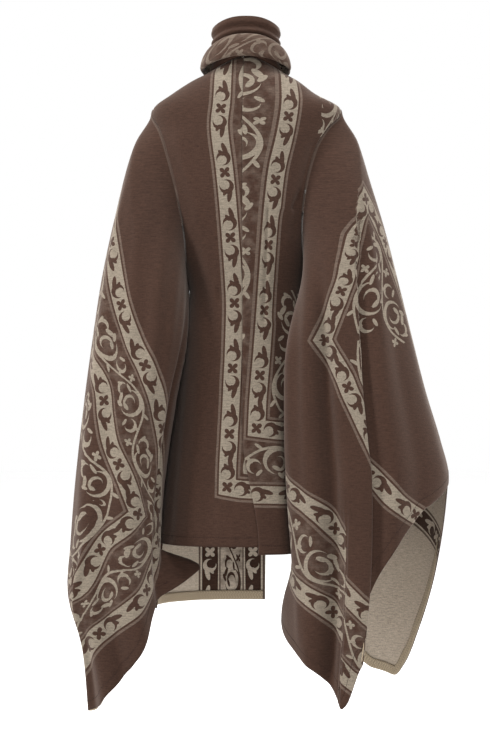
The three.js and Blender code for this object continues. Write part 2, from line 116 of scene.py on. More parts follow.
# Creases in the body run between two places, by flat width and height, with their half width
# and how far they stand out; a dart pinches the right panel's band.
BODY_CREASE = "from_x from_z to_x to_z half stand"
BACK_CREASES = table(
    BODY_CREASE,
    (-47, -300, -39, -545, 3.5, -5), (-52, -320, -46, -520, 6, 2), (62, -470, 58, -505, 5, -4),
    (-122, -262, -104, -300, 7, -4), (150, -140, 96, -330, 14, 3),
    (-150, -150, -100, -350, 14, -3), (118, -380, 60, -640, 16, -4),
    (90, -560, 120, -1000, 18, 4), (140, -600, 172, -1028, 13, -5),
    (-78, -560, -104, -1040, 14, -4), (-110, -520, -146, -1040, 13, 5),
    (66, -700, 78, -1028, 15, -3), (12, -520, 16, -760, 8, 2),
)
FRONT_CREASES = table(
    BODY_CREASE,
    (70, -300, 66, -800, 14, 4), (120, -420, 150, -1100, 15, -5),
    (-80, -280, -70, -760, 14, -4), (-120, -440, -140, -1060, 14, 5),
    (96, -560, 104, -1176, 12, 4), (-52, -620, -60, -1062, 12, -3),
)

# ---- the wings: the cape sleeves ----
WING_ROUND = 2.3
WING_BLEND = 210
SHOULDER_BLEND = 70
SHOULDER_EASE = 2
SHOULDER_EASE_FROM = 0.4
WING_CLEAR = 12
CLEAR_BELOW_BACK = 30
CLEAR_BELOW_FRONT = 35
CLEAR_FADE = 90
TUCK_SHARE = 0.06
FIRST_HEM_Z = -1150
SECTION = "z inner outer back front"
LEFT_SECTIONS = table(
    SECTION,
    (-72, 120, 206, 52, -50), (-165, 118, 251, 95, -90), (-319, 112, 291, 128, -120),
    (-451, 110, 319, 146, -138), (-583, 118, 340, 160, -150), (-715, 146, 358, 172, -158),
    (-891, 172, 377, 184, -166), (-1023, 178, 387, 190, -170), (-1137, 166, 393, 192, -172),
    (-1250, 150, 362, 190, -172), (-1390, 122, 342, 186, -170),
)
RIGHT_SECTIONS = table(
    SECTION,
    (-72, 120, 212, 55, -50), (-143, 112, 246, 92, -84), (-231, 100, 273, 122, -106),
    (-341, 84, 306, 150, -128), (-451, 74, 334, 168, -142), (-561, 66, 361, 184, -152),
    (-693, 60, 394, 200, -160), (-803, 58, 427, 210, -166), (-884, 60, 445, 215, -170),
    (-1100, 74, 428, 220, -174), (-1260, 78, 404, 218, -174), (-1390, 80, 384, 214, -174),
)
HEM = "at z tuck"
LEFT_HEM = table(
    HEM,
    (0, -1327, 0), (10, -1364, 0), (27, -1386, 0), (53, -1362, 0), (80, -1310, 0),
    (105, -1250, 0), (118, -1208, 0), (130, -1170, 0), (141, -1140, 0), (152, -1112, 40),
    (163, -1072, 98), (176, -1056, 0), (198, -1070, 0), (225, -1120, 0), (270, -1235, 0),
    (318, -1345, 0), (345, -1300, 0),
)
RIGHT_HEM = table(
    HEM,
    (0, -884, 0), (25, -908, 0), (51, -945, 0), (67, -994, 0), (76, -1034, 0), (84, -1086, 0),
    (88, -1120, 0), (92, -1160, 0), (98, -1240, 0), (106, -1334, 0), (123, -1288, 0),
    (145, -1250, 0), (165, -1225, 0), (178, -1206, 0), (200, -1150, 0), (225, -1200, 0),
    (270, -1302, 0), (286, -1335, 0), (300, -1342, 0), (312, -1350, 0), (324, -1300, 0),
    (337, -1195, 0), (348, -1090, 0), (356, -970, 0),
)
# Past the right wing's wide pleat the cloth has its own hem, which hangs below the layer under it.
RIGHT_FOLD_HEM = table(
    HEM,
    (60, -1080, 0), (76, -1150, 0), (82, -1196, 0), (87, -1246, 0), (92, -1292, 0),
    (97, -1362, 0), (98.5, -1372, 0), (106, -1334, 0), (123, -1288, 0),
)
# Folds run from the shoulder to the hem: their angle at each, half width and stand at the hem.
FOLD = "top hem half stand"
LEFT_FOLDS = table(
    FOLD,
    (30, 62, 13, 12), (95, 112, 12, 16), (60, 88, 12, -14), (290, 285, 14, 16),
    (320, 316, 13, -14), (250, 248, 13, -12),
)
RIGHT_FOLDS = table(
    FOLD,
    (56, 90, 12, 14), (34, 68, 13, -8), (96, 118, 12, -10), (290, 284, 14, 18),
    (316, 312, 13, -16), (252, 246, 13, -14),
)
# Creases are shorter and finer: where they start and end, half width in degrees, and stand.
CREASE = "from_at from_z to_at to_z half stand"
LEFT_CREASES = table(
    CREASE,
    (66, -960, 31, -1392, 4.5, 15), (54, -980, 22, -1392, 6, -12), (118, -330, 128, -800, 7, 9),
    (84, -240, 104, -900, 9, -9), (146, -420, 142, -1090, 5, -8), (134, -300, 136, -1000, 6, 8),
    (36, -180, 44, -620, 8, 4), (12, -420, 8, -1100, 7, -4), (96, -760, 92, -1300, 6, 4),
    (300, -300, 306, -900, 8, 5), (268, -500, 262, -1180, 7, -6), (334, -200, 338, -1000, 7, 5),
)
RIGHT_CREASES = table(
    CREASE,
    (106, -330, 112, -1250, 6, -20), (119, -300, 128, -1250, 7, 9),
    (142, -420, 137, -1180, 7, 8), (78, -420, 84, -1150, 5, -10), (44, -260, 56, -900, 8, -3),
    (22, -320, 30, -860, 9, 3), (150, -300, 156, -760, 6, -4), (302, -300, 300, -1200, 7, 5),
    (270, -420, 268, -1250, 7, -6), (334, -260, 330, -1080, 7, 5),
)
# Knife pleats open towards the hem. Each has its upper layer's edge by height, with its reach
# in degrees, its half width, and the way that the layer laps over, with or against the angle.
PLEAT = "z at reach"
WIDE_PLEAT = table(
    PLEAT,
    (-150, 44, 0), (-250, 64, 0), (-400, 76, 1.4), (-500, 80.5, 3), (-800, 91, 6.5),
    (-1100, 92.5, 7), (-1400, 95, 7),
)
NARROW_PLEAT = table(
    PLEAT, (-560, 99, 0), (-900, 100.8, 0), (-1010, 101.2, 0.9), (-1400, 103, 1.15)
)
RIGHT_PLEATS = table("way half path", (-1, 5, WIDE_PLEAT), (1, 4, NARROW_PLEAT))
# Each fold of a pleat lies this far below the one over it, and turns in this share of its width.
PLEAT_DROP = 5.2
PLEAT_TURN = 0.1
PLEAT_EASE = 14
PLEAT_OPENS = 0.9
CREASE_START = 0.35
CREASE_END = 0.15
# A fold grows with this power of the share of the way down.
FOLD_GROWTH = 0.8
# A wing's columns are spaced on its ring at this share of its height, and lie closer together
# between some angles. Its first rows, as shares of its height, follow the armhole's seam.
RING_SHARE = 0.62
CLOSER = 3.5
CLOSER_FADE = 6
WING_SEAM_SHARES = (0.0012, 0.003)
# A wing's flat width is read from a table this deep, with these steps down it and in degrees.
FLAT_DEPTH = 1400
FLAT_STEP = 25
FLAT_TURN = 2
WINGS = {
    "wing_left": SimpleNamespace(
        sign=1,
        sections=LEFT_SECTIONS,
        hem=LEFT_HEM,
        fold_hem=[],
        folds=LEFT_FOLDS,
        creases=LEFT_CREASES,
        pleats=[],
        close=[(20, 72)],
    ),
    "wing_right": SimpleNamespace(
        sign=-1,
        sections=RIGHT_SECTIONS,
        hem=RIGHT_HEM,
        fold_hem=RIGHT_FOLD_HEM,
        folds=RIGHT_FOLDS,
        creases=RIGHT_CREASES,
        pleats=RIGHT_PLEATS,
        close=[(70, 110)],
    ),
}

# ---- the collar ----
COLLAR_FRONT_GAP = 9
STAND_FRONT_GAP = 3.5
NECK_HALF = 82
NECK_DEPTH = 67
FALL_FRONT_FLARE = 9
FALL_FRONT_ONSET = 1.6
FALL_RIPPLE = 1.2
RIPPLE_FROM_ROW = 3
# Waves in the fall's free part: how many, where they start in degrees, and their share.
WAVES = ((5, 20, 1.0), (9, 75, 0.6))
RING = "row half depth back side front"
STAND = table(
    RING,
    (0, 74, 61, 46, 28, 26), (1, 73, 60, 62, 46, 42), (2, 73, 60, 82, 62, 57),
    (3, 77, 65, 93, 73, 67), (4, 73, 61, 103, 83, 77), (5, 77, 66, 113, 93, 87),
    (6, 75, 64, 124, 104, 98),
)
FALL = table(
    RING,
    (0, 74.8, 62.2, 50, 33, 31), (1, 74.8, 62.2, 62, 43, 37), (2, 80, 67, 80, 54, 46),
    (3, 84, 72, 84, 57, 48), (4, 90, 78, 76, 51, 42), (5, 97, 81, 58, 36, 25),
    (6, 100, 82, 41, 18, 6), (7, 96, 78, 34, 12, 2), (8, 88, 72, 40, 20, 10),
)


# ---- the jacquard's borders ----
# Widths across a border from its outer outline inwards: the middle of its light band, of the
# strip of scrolls beside it and of the second band, and a place that is past any border. A lone
# band is counted from LONE_FROM, and whatever is over LONE_ABOVE belongs to one.
BAND_AT = 27.5
STRIP_AT = 99.0
SECOND_AT = 170.5
FAR = 590.0
LONE_ABOVE = 600.0
LONE_FROM = 1000.0
BAND_EASE = 20.0
# This far before the second band the distance along a border turns into its inner line's own.
INNER_RUN_FROM = 27
INNER_RUN_FADE = 8
# The motifs' repeat, the run with a flower of its own at a corner, and the run from which arms
# with no spray of scrolls inside them are counted.
REPEAT = 141.0
CORNER_RUN = 56.0
PLAIN_RUN = 20 * REPEAT


def arm(outer, inner=None, inside=1, shift=0, plain=False, to_corner=False):
    """One arm of a border.

    It follows the middle of its outer band and of its inner one, from the corner out, by flat
    width and depth below the shoulder. Its inside is on the side that `inside` gives, and its
    motifs are moved along by `shift`.
    """
    return SimpleNamespace(
        outer=outer, inner=inner, inside=inside, shift=shift, plain=plain, to_corner=to_corner
    )


LEFT_WING_FRAME = [
    arm(
        [(137, 1003), (158, 853), (180, 738), (208, 655), (240, 589), (274, 498), (298, 394)],
        [(227, 954), (258, 873), (289, 809), (303, 748), (315, 681), (365, 613)],
        inside=-1,
        shift=22,
    ),
    arm(
        [
            (137, 1003), (172, 1068), (200, 1112), (242, 1153), (290, 1190), (319, 1213),
            (352, 1254),
        ],
        [(227, 954), (261, 982), (304, 1018), (349, 1103), (382, 1130)],
        shift=-18,
    ),
]
RIGHT_RISING_ARM = arm(
    [
        (160, 585), (186, 521), (208, 461), (220, 402), (233, 346), (240, 320), (251, 303),
        (267, 280),
    ],
    inside=-1,
    to_corner=True,
)
RIGHT_TOP_ARM = arm([(267, 280), (285, 300), (295, 314), (326, 356), (342, 388)], inside=-1)
# A tuck at the shoulder, this far across the cloth, hides this much of the rising arm's length.
SHOULDER_LINE = table(
    "depth at", (200, 253), (284, 244), (316, 240), (350, 243), (392, 246), (520, 247)
)
SHOULDER_HIDES = 45.0
SHOULDER_ENDS = (340, 500)
RIGHT_UPPER_FRAME = [
    RIGHT_RISING_ARM,
    arm([(160, 585), (178, 617), (193, 641), (206, 664), (219, 696), (237, 734), (250, 762)]),
    RIGHT_TOP_ARM,
]
RIGHT_OUTER_FRAME = [
    RIGHT_RISING_ARM,
    RIGHT_TOP_ARM,
    arm([(60, 705), (262, 868), (319, 928), (378, 962)], plain=True),
]
# The right wing's lower borders show below a slanting line, by depth and flat width. Its outer
# frame ends in front at this angle.
LOWER_FROM = 710
LOWER_SLOPE = 0.6
OUTER_ENDS = -150
RIGHT_LOWER_BORDER = [
    arm(
        [(76, 1099), (148, 1141), (193, 1185)], [(90, 913), (149, 951), (187, 997)], plain=True
    )
]
RIGHT_MIDDLE_BORDER = [
    arm(
        [(190, 1270), (217, 1296), (228, 1303)],
        [(190, 1100), (215, 1124), (242, 1150)],
        plain=True,
    )
]
BACK_LEFT_FRAME = [
    arm(
        [
            (41, 900), (40, 855), (34, 748), (28, 616), (25, 519), (26, 480), (33, 374),
            (40, 285), (47, 214), (58, 122), (53, 68), (50, 0),
        ],
        [(-100, 760), (-100, 0)],
    ),
    arm([(41, 900), (8, 905), (-60, 906)], [(-100, 765), (-200, 765)], inside=-1),
]
BACK_RIGHT_FRAME = [
    arm(
        [(120, 916), (120, 0)],
        [
            (-23, 774), (-26, 712), (-35, 605), (-43, 498), (-53, 355), (-59, 285), (-68, 213),
            (-85, 141), (-96, 71), (-96, 0),
        ],
    ),
    arm(
        [(120, 916), (-34, 916), (-86, 918)], [(-23, 774), (-63, 779), (-100, 782)], inside=-1
    ),
    # This one is cut off by the armhole but for its corner spray.
    arm([(-386, 300), (-386, -200)], [(-243, 162), (-243, -200)], inside=-1),
]
FRONT_LEFT_BORDER = [arm([(-16, 1180), (-16, 0)], [(83, 1180), (83, 0)], inside=-1, plain=True)]
FRONT_RIGHT_BORDER = [arm([(16, 1180), (16, 0)], [(-83, 1180), (-83, 0)], plain=True)]
PANEL_BORDERS = {
    "back_left": BACK_LEFT_FRAME,
    "back_right": BACK_RIGHT_FRAME,
    "front_left": FRONT_LEFT_BORDER,
    "front_right": FRONT_RIGHT_BORDER,
}


# ---- the tailor's arithmetic, on arrays ----
def smooth(t):
    """0 to 1 with level ends."""
    t = np.clip(t, 0, 1)
    return t * t * (3 - 2 * t)


def mix(a, b, t):
    return a + (b - a) * t


def signed_power(value, power):
    return np.sign(value) * np.abs(value) ** power


def cos_sin(angle):
    return np.cos(np.radians(angle)), np.sin(np.radians(angle))


def cubic(t, low, high, slope_low, slope_high):
    """A curve's value at t, from the values and slopes at its ends."""
    ends = (1 + 2 * t) * (1 - t) ** 2 * low + t * t * (3 - 2 * t) * high
    return ends + t * (1 - t) ** 2 * slope_low + t * t * (t - 1) * slope_high


def run_along(points, axis):
    """How far along an axis of a grid each of its points lies."""
    steps = np.linalg.norm(np.diff(points, axis=axis), axis=-1)
    start = np.zeros_like(steps.take([0], axis))
    return np.concatenate((start, np.cumsum(steps, axis=axis)), axis)


def between(rows, key, column, at):
    """A smooth value between a table's rows, which are ordered by `key`."""
    x = np.array([getattr(row, key) for row in rows], float)
    y = np.array([getattr(row, column) for row in rows], float)
    if x[0] > x[-1]:
        x, y = x[::-1], y[::-1]
    secants = np.diff(y) / np.diff(x)
    middle = (y[2:] - y[:-2]) / (x[2:] - x[:-2])
    tangents = np.concatenate((secants[:1], middle, secants[-1:]))
    at = np.clip(at, x[0], x[-1])
    i = np.clip(np.searchsorted(x, at, side="right") - 1, 0, len(x) - 2)
    width = x[i + 1] - x[i]
    slopes = width * tangents[i], width * tangents[i + 1]
    return cubic((at - x[i]) / width, y[i], y[i + 1], *slopes)


def around(rows, column, angle, ease=2.5):
    """A value by angle round a wing, its corners eased by averaging over a few degrees."""
    at = [row.at for row in rows]
    values = [getattr(row, column) for row in rows]
    return sum(
        np.interp(angle + shift * ease, at, values, period=360) for shift in (-1, 0, 1)
    ) / 3


def close_at_ends(count):
    """Even shares from 0 to 1, with two more near each end for a seam's rolled edge."""
    near = np.array(PANEL_SEAM_SHARES)
    return np.sort(np.concatenate((np.linspace(0, 1, count - 4), near, 1 - near)))


def creased(x, z, creases):
    """How far the creases stand out at places on the body."""
    stand = np.zeros(np.broadcast(x, z).shape)
    for crease in creases:
        du, dv = crease.to_x - crease.from_x, crease.to_z - crease.from_z
        share = ((x - crease.from_x) * du + (z - crease.from_z) * dv) / (du * du + dv * dv)
        held = np.clip(share, 0, 1)
        away = np.hypot(x - crease.from_x - held * du, z - crease.from_z - held * dv)
        ends = smooth(share * CREASE_FADE + CREASE_AT_END)
        ends = ends * smooth((1 - share) * CREASE_FADE + CREASE_AT_END)
        stand += crease.stand * ends * np.exp(-((away / crease.half) ** 2))
    return stand


# ---- the body's form ----
def body_size(plus, minus, side, z):
    """The body's half width or depth at each height, on the side that the sign of `side` gives."""
    return np.where(side >= 0, between(BODY, "z", plus, z), between(BODY, "z", minus, z))


def body_point(angle, z, out=0.0):
    """Points on the body: 0 degrees is its left side, 90 its back and 270 its front."""
    angle, z = np.broadcast_arrays(np.asarray(angle, float), np.asarray(z, float))
    c, s = cos_sin(angle)
    x = (body_size("left", "right", c, z) + out) * signed_power(c, 2 / BODY_ROUND)
    y = (body_size("back", "front", s, z) + out) * signed_power(s, 2 / BODY_ROUND)
    return np.stack((x, y, z), -1)


def neckline(angle):
    s = np.sin(np.radians(angle))
    return NECK_SIDE_Z + np.where(s >= 0, NECK_BACK_RISE, -NECK_FRONT_DROP) * s**2


def angle_at_x(x, z):
    """The angle, from 0 to 180, at which the body's section is at x."""
    half = body_size("left", "right", x, z)
    return np.degrees(np.arccos(signed_power(x / half, BODY_ROUND / 2)))


def side_angle(z):
    depth = between(BODY, "z", "back", z)
    gap = np.degrees(np.arcsin((SEAM_GAP / 2 / depth) ** (BODY_ROUND / 2)))
    return np.clip(between(BODY, "z", "armhole", z), 0, None) + gap


def body_panel(centre, side, hem, out, columns=64, rows=190):
    """A panel's outer face, from its centre edge to its side edge and from neck to hem."""
    level = np.linspace(BODY_TOP, BODY_HEM_LEVEL, rows)[:, None]
    share = close_at_ends(columns)[None, :]
    above = np.clip((level - UNDERARM_Z) / (BODY_TOP - UNDERARM_Z), 0, 1)
    below = np.clip((UNDERARM_Z - level) / (UNDERARM_Z - BODY_HEM_LEVEL), 0, 1)
    top = np.array([BODY_TOP])
    top_angle = mix(centre(top), side(top), share)
    angle = mix(centre(level), side(level), share)
    z = level + above * (neckline(top_angle) - BODY_TOP) + below * (hem - BODY_HEM_LEVEL)
    x = body_point(angle, z)[..., 0]
    creases = BACK_CREASES if np.all(angle <= 180) else FRONT_CREASES
    free = smooth(share * CREASE_FROM_SEAM) * smooth((1 - share) * CREASE_FROM_SEAM)
    free = free * smooth((BODY_TOP - level) / CREASE_FROM_NECK)
    return body_point(angle, z, out(angle, z) + creased(x, z, creases) * free)


def back_left():
    def centre(z):
        turn = smooth((VENT_TOP_Z - z) / VENT_TURN)
        return angle_at_x(mix(CENTRE_BACK_X + SEAM_GAP / 2, VENT_UNDERLAP_X, turn), z)

    return body_panel(centre, side_angle, BACK_LEFT_HEM_Z, lambda a, z: 0.0)[:, ::-1]


def back_right():
    def centre(z):
        drift = smooth((VENT_TOP_Z - z) / VENT_DRIFT)
        return angle_at_x(mix(CENTRE_BACK_X - SEAM_GAP / 2, VENT_EDGE_X, drift), z)

    def out(a, z):
        lapped = smooth((VENT_TOP_Z + LAP_ABOVE_VENT - z) / LAP_START)
        return LAP * lapped * smooth((BACK_LAP_AT - a) / LAP_FADE)

    return body_panel(centre, lambda z: 180 - side_angle(z), BACK_RIGHT_HEM_Z, out)


def front_left():
    return body_panel(
        lambda z: 360 - angle_at_x(np.full_like(z, -FRONT_EDGE_X, float), z),
        lambda z: 360 - side_angle(z),
        FRONT_LEFT_HEM_Z,
        lambda a, z: 0.0,
    )


def front_right():
    return body_panel(
        lambda z: 360 - angle_at_x(np.full_like(z, FRONT_EDGE_X, float), z),
        lambda z: 180 + side_angle(z),
        FRONT_RIGHT_HEM_Z,
        lambda a, z: LAP * smooth((a - FRONT_LAP_AT) / LAP_FADE),
    )[:, ::-1]


PANELS = {
    "back_left": back_left,
    "back_right": back_right,
    "front_left": front_left,
    "front_right": front_right,
}


# ---- the wings' form ----
def armhole_height(angle):
    return mix(SHOULDER_Z, UNDERARM_Z, (1 - np.cos(np.radians(angle))) / 2)


def armhole_edge(angle, sign):
    """The body's armhole edge, by angle round the wing."""
    z = armhole_height(angle)
    c, s = cos_sin(angle)
    back = np.where(s >= 0, 1, -1)
    out = SEAM_GAP * 2 + SHOULDER_EASE * smooth((c - SHOULDER_EASE_FROM) / (1 - SHOULDER_EASE_FROM))
    at = back * np.clip(between(BODY, "z", "armhole", z), 0, None)
    return body_point(at if sign > 0 else 180 - at, z, out)


def folded(angle, z, wing):
    """How far the folds and creases stand out from the wing's section."""
    sections = wing.sections
    depth = np.clip((SHOULDER_Z - z) / (SHOULDER_Z - sections[-1].z), 0, 1)
    stand = np.zeros_like(angle)
    for fold in wing.folds:
        away = (angle - mix(fold.top, fold.hem, depth)) / fold.half
        stand += fold.stand * depth**FOLD_GROWTH * np.exp(-away * away)
    for crease in wing.creases:
        along = (crease.from_z - z) / (crease.from_z - crease.to_z)
        away = (angle - mix(crease.from_at, crease.to_at, along)) / crease.half
        fade = smooth(along / CREASE_START) * smooth((1 + CREASE_END - along) / CREASE_END)
        stand += crease.stand * fade * np.exp(-away * away)
    return stand


def pleated(angle, z, pleats):
    """Where the cloth at each angle lies once its pleats are laid, and how far it drops."""
    at, drop = angle.copy(), np.zeros_like(angle)
    for pleat in pleats:
        centre = between(pleat.path, "z", "at", z)
        reach = between(pleat.path, "z", "reach", z)
        half, way = pleat.half, pleat.way
        through = (angle - centre) / (2 * half) + 0.5
        inside = (through > 0) & (through < 1)
        at += np.where(inside, reach * np.sin(2 * np.pi * through), 0)
        past = through if way > 0 else 1 - through
        eased = 1 - smooth((past - 1) * 2 * half / PLEAT_EASE)
        share = smooth(reach * np.pi / (PLEAT_OPENS * half))
        turns = sum(smooth((past - turn) / (2 * PLEAT_TURN) + 0.5) for turn in (0.25, 0.75))
        drop += PLEAT_DROP * share * turns * eased
    return at, drop


def section_point(angle, z, out, wing):
    inner, outer, back, front = (
        between(wing.sections, "z", column, z) for column in SECTION.split()[1:]
    )
    c, s = cos_sin(angle)
    power = 2 / WING_ROUND
    x = (outer + inner) / 2 + (outer - inner) / 2 * signed_power(c, power) + out * c
    y = (back + front) / 2 + (back - front) / 2 * signed_power(s, power) + out * s
    return x, y


def clear_of_body(x, y, z, sign, clear):
    """Moves points that lie within the body's oval out to `clear` from it."""
    lowest = mix(
        FRONT_LEFT_HEM_Z - CLEAR_BELOW_FRONT,
        BACK_RIGHT_HEM_Z - CLEAR_BELOW_BACK,
        smooth((y + CLEAR_FADE) / (2 * CLEAR_FADE)),
    )
    half = body_size("left", "right", sign, z) + clear
    depth = body_size("back", "front", y, z) + clear
    reach = (np.abs(x / half) ** BODY_ROUND + np.abs(y / depth) ** BODY_ROUND) ** (1 / BODY_ROUND)
    grow = np.maximum(1 / np.maximum(reach, 0.2) - 1, 0)
    grow = 1 + grow * smooth((z - lowest + CLEAR_FADE) / (2 * CLEAR_FADE))
    return x * grow, y * grow


def unrolled(at, z, wing):
    """The flat width from the body's centre line to each angle, alike on back and front."""
    levels = np.arange(0, -FLAT_DEPTH - 1, -FLAT_STEP)[:, None]
    turns = np.arange(0, 181, FLAT_TURN)[None, :]
    x, y = section_point(turns, levels, 0, wing)
    run = run_along(np.stack((x, y), -1), 1)
    back = 90 // FLAT_TURN
    width = x[:, [back]] + run[:, [back]] - run
    row = np.clip(-z / FLAT_STEP, 0, len(levels) - 1.001)
    column = np.clip(np.abs((at + 180) % 360 - 180) / FLAT_TURN, 0, turns.size - 1.001)
    i, j = row.astype(int), column.astype(int)
    down, across = row - i, column - j
    above = mix(width[i, j], width[i, j + 1], across)
    return mix(above, mix(width[i + 1, j], width[i + 1, j + 1], across), down)


def hem_height(wing, angle, at, z):
    """The hem's height where each angle's cloth lies, on its own side of a wide pleat."""
    height = around(wing.hem, "z", at)
    if wing.fold_hem:
        pleat = wing.pleats[0]
        past = smooth((angle - between(pleat.path, "z", "at", z)) / pleat.half + 0.5)
        past = past * (at < wing.fold_hem[-1].at)
        height = mix(height, around(wing.fold_hem, "z", at), past)
    return height


def wing_surface(wing, angle, share):
    """A wing's outer face, by angle round it and share of the way from armhole to hem."""
    angle, share = np.broadcast_arrays(angle[None, :], share[:, None])
    sign = wing.sign
    edge = armhole_edge(angle, sign)
    z = mix(edge[..., 2], hem_height(wing, angle, angle, FIRST_HEM_Z), share)
    for _ in range(2):
        at, _ = pleated(angle, z, wing.pleats)
        z = mix(edge[..., 2], hem_height(wing, angle, at, z), share)
    at, drop = pleated(angle, z, wing.pleats)
    blend = mix(WING_BLEND, SHOULDER_BLEND, np.cos(np.radians(angle) / 2) ** 4)
    leave = 1 - (1 - np.clip((edge[..., 2] - z) / blend, 0, 1)) ** 2
    x, y = section_point(at, z, folded(at, z, wing) - drop, wing)
    x = mix(np.abs(edge[..., 0]), x, leave)
    y = mix(edge[..., 1], y, leave)
    x, y = clear_of_body(x, y, z, sign, mix(SEAM_GAP * 6, WING_CLEAR, leave**3))
    tuck = smooth((share - 1 + TUCK_SHARE) / TUCK_SHARE) * around(wing.hem, "tuck", angle)
    return np.stack((sign * (x - tuck), y, z), -1), unrolled(at, z, wing)


def wing_columns(wing, count=290):
    """Angles from the inner side right round, closer where the section turns and at pleats."""
    fine = np.linspace(-180, 180, 4 * 360 + 1)
    ring = wing_surface(wing, fine, np.array([RING_SHARE]))[0][0]
    steps = np.linalg.norm(np.diff(ring[:, :2], axis=0), axis=-1)
    middle = (fine[1:] + fine[:-1]) / 2
    for low, high in wing.close:
        inside = smooth((middle - low) / CLOSER_FADE) * smooth((high - middle) / CLOSER_FADE)
        steps *= 1 + CLOSER * inside
    run = np.concatenate(([0], np.cumsum(steps)))
    return np.interp(np.linspace(0, run[-1], count), run, fine)


def wing_grid(wing, rows=165):
    angles = wing_columns(wing)
    share = np.sort(np.concatenate((np.linspace(0, 1, rows - 2), WING_SEAM_SHARES)))
    grid, flat = wing_surface(wing, angles, share)
    return grid, flat, angles


# ---- the collar's form ----
def collar_point(row, angle, flare=0.0):
    c, s = cos_sin(angle)
    power = 2 / BODY_ROUND
    z = mix(row.side, np.where(s > 0, row.back, row.front), s**2)
    return np.stack(
        (
            (row.half + flare) * signed_power(c, power),
            (row.depth + flare) * signed_power(s, power),
            z,
        ),
        -1,
    )


def ring_between(rows, place):
    """A collar row at any place between the table's rows."""
    at = np.array([place])
    return table(RING, [place] + [between(rows, "row", c, at)[0] for c in RING.split()[1:]])[0]


def fall_grid(columns=240, rows=72):
    angle = np.linspace(COLLAR_FRONT_GAP - 90, 270 - COLLAR_FRONT_GAP, columns)
    last = FALL[-1].row
    waves = sum(high * np.sin(np.radians(angle * many + start)) for many, start, high in WAVES)
    grid = []
    for place in np.linspace(0, last, rows):
        forward = smooth(-np.sin(np.radians(angle)) * FALL_FRONT_ONSET) * (place / last)
        ripple = FALL_RIPPLE * smooth((place - RIPPLE_FROM_ROW) / RIPPLE_FROM_ROW) * waves
        ring = collar_point(ring_between(FALL, place), angle, FALL_FRONT_FLARE * forward)
        outward = ring * (1, 1, 0)
        outward /= np.linalg.norm(outward, axis=-1, keepdims=True)
        grid.append(ring + outward * ripple[:, None])
    return np.array(grid)


def stand_grid(columns=200, rows=56):
    angle = np.linspace(STAND_FRONT_GAP - 90, 270 - STAND_FRONT_GAP, columns)
    seam = body_point(angle, neckline(angle))
    power = BODY_ROUND / 2
    turned = np.degrees(
        np.arctan2(
            signed_power(seam[:, 1] / NECK_DEPTH, power),
            signed_power(seam[:, 0] / NECK_HALF, power),
        )
    )
    seam[:, 2] += SEAM_GAP * 2
    rings = [seam] + [collar_point(row, turned) for row in STAND]
    rings = np.array(rings)
    place = np.linspace(0, len(rings) - 1, rows)
    whole = np.minimum(place.astype(int), len(rings) - 2)
    t = (place - whole)[:, None, None]
    before = rings[np.maximum(whole - 1, 0)]
    after = rings[np.minimum(whole + 2, len(rings) - 1)]
    low, high = rings[whole], rings[whole + 1]
    return cubic(t, low, high, (high - before) / 2, (after - low) / 2)[:, ::-1]


# ---- where the borders run ----
def eased(line, step=12.0):
    """A line of knots with more between them, so that it bends without corners."""
    run = [0.0]
    for (u0, v0), (u1, v1) in zip(line, line[1:]):
        run.append(run[-1] + math.hypot(u1 - u0, v1 - v0))
    rows = table("run u v", *((at, u, v) for at, (u, v) in zip(run, line)))
    at = np.linspace(0, run[-1], max(2, int(run[-1] / step)))
    return np.stack((between(rows, "run", "u", at), between(rows, "run", "v", at)), -1).tolist()


def beside(line, u, v):
    """How far points lie to one side of a line of knots, and how far along it."""
    line = eased(line) if len(line) > 2 else line
    nearest = np.full(np.shape(u), np.inf)
    aside, along, start = nearest.copy(), nearest.copy(), 0.0
    for step, ((u0, v0), (u1, v1)) in enumerate(zip(line, line[1:])):
        length = math.hypot(u1 - u0, v1 - v0)
        du, dv = (u1 - u0) / length, (v1 - v0) / length
        run = (u - u0) * du + (v - v0) * dv
        low = -np.inf if step == 0 else 0.0
        high = np.inf if step == len(line) - 2 else length
        held = np.clip(run, low, high)
        away = np.hypot(u - u0 - held * du, v - v0 - held * dv)
        side = np.where((u - u0) * dv - (v - v0) * du >= 0, 1, -1)
        closer = away < nearest
        nearest = np.where(closer, away, nearest)
        aside = np.where(closer, away * side, aside)
        along = np.where(closer, start + held, along)
        start += length
    return aside, along


def arm_map(part, u, v):
    """How far in across an arm of a border points lie, and how far along it."""
    inward, along = beside(part.outer, u, v)
    inward = inward * part.inside
    if part.to_corner:
        left = beside(part.outer, *np.array(part.outer[-1:], float).T)[1] - along
        along = np.where(left < CORNER_RUN, left, along)
    along = BAND_AT + along + part.shift
    if part.plain:
        along = along + PLAIN_RUN
    if part.inner is None:
        return LONE_FROM + BAND_AT + inward, along
    outward, second = beside(part.inner, u, v)
    outward = -outward * part.inside
    share = (inward - BAND_EASE) / np.maximum(inward + outward - 2 * BAND_EASE, 1)
    strip = mix(BAND_AT + BAND_EASE, SECOND_AT - BAND_EASE, share)
    across = np.where(outward < BAND_EASE, SECOND_AT - outward, strip)
    across = np.where(inward < BAND_EASE, BAND_AT + inward, across)
    past = smooth((across - SECOND_AT + INNER_RUN_FROM) / INNER_RUN_FADE)
    second = second + (PLAIN_RUN if part.plain else 0)
    return across, mix(along, SECOND_AT + second, past)


def frame_map(arms, u, v):
    """The two nearest arms' coordinates: across each of them, and along each of them."""
    first, along_first = arm_map(arms[0], u, v)
    second = np.full_like(first, FAR if len(arms) == 1 else np.inf)
    along_second = np.zeros_like(first)
    for part in arms[1:]:
        across, along = arm_map(part, u, v)
        nearer = across < second
        second = np.where(nearer, across, second)
        along_second = np.where(nearer, along, along_second)
    return np.stack((first, second), -1), np.stack((along_first, along_second), -1)


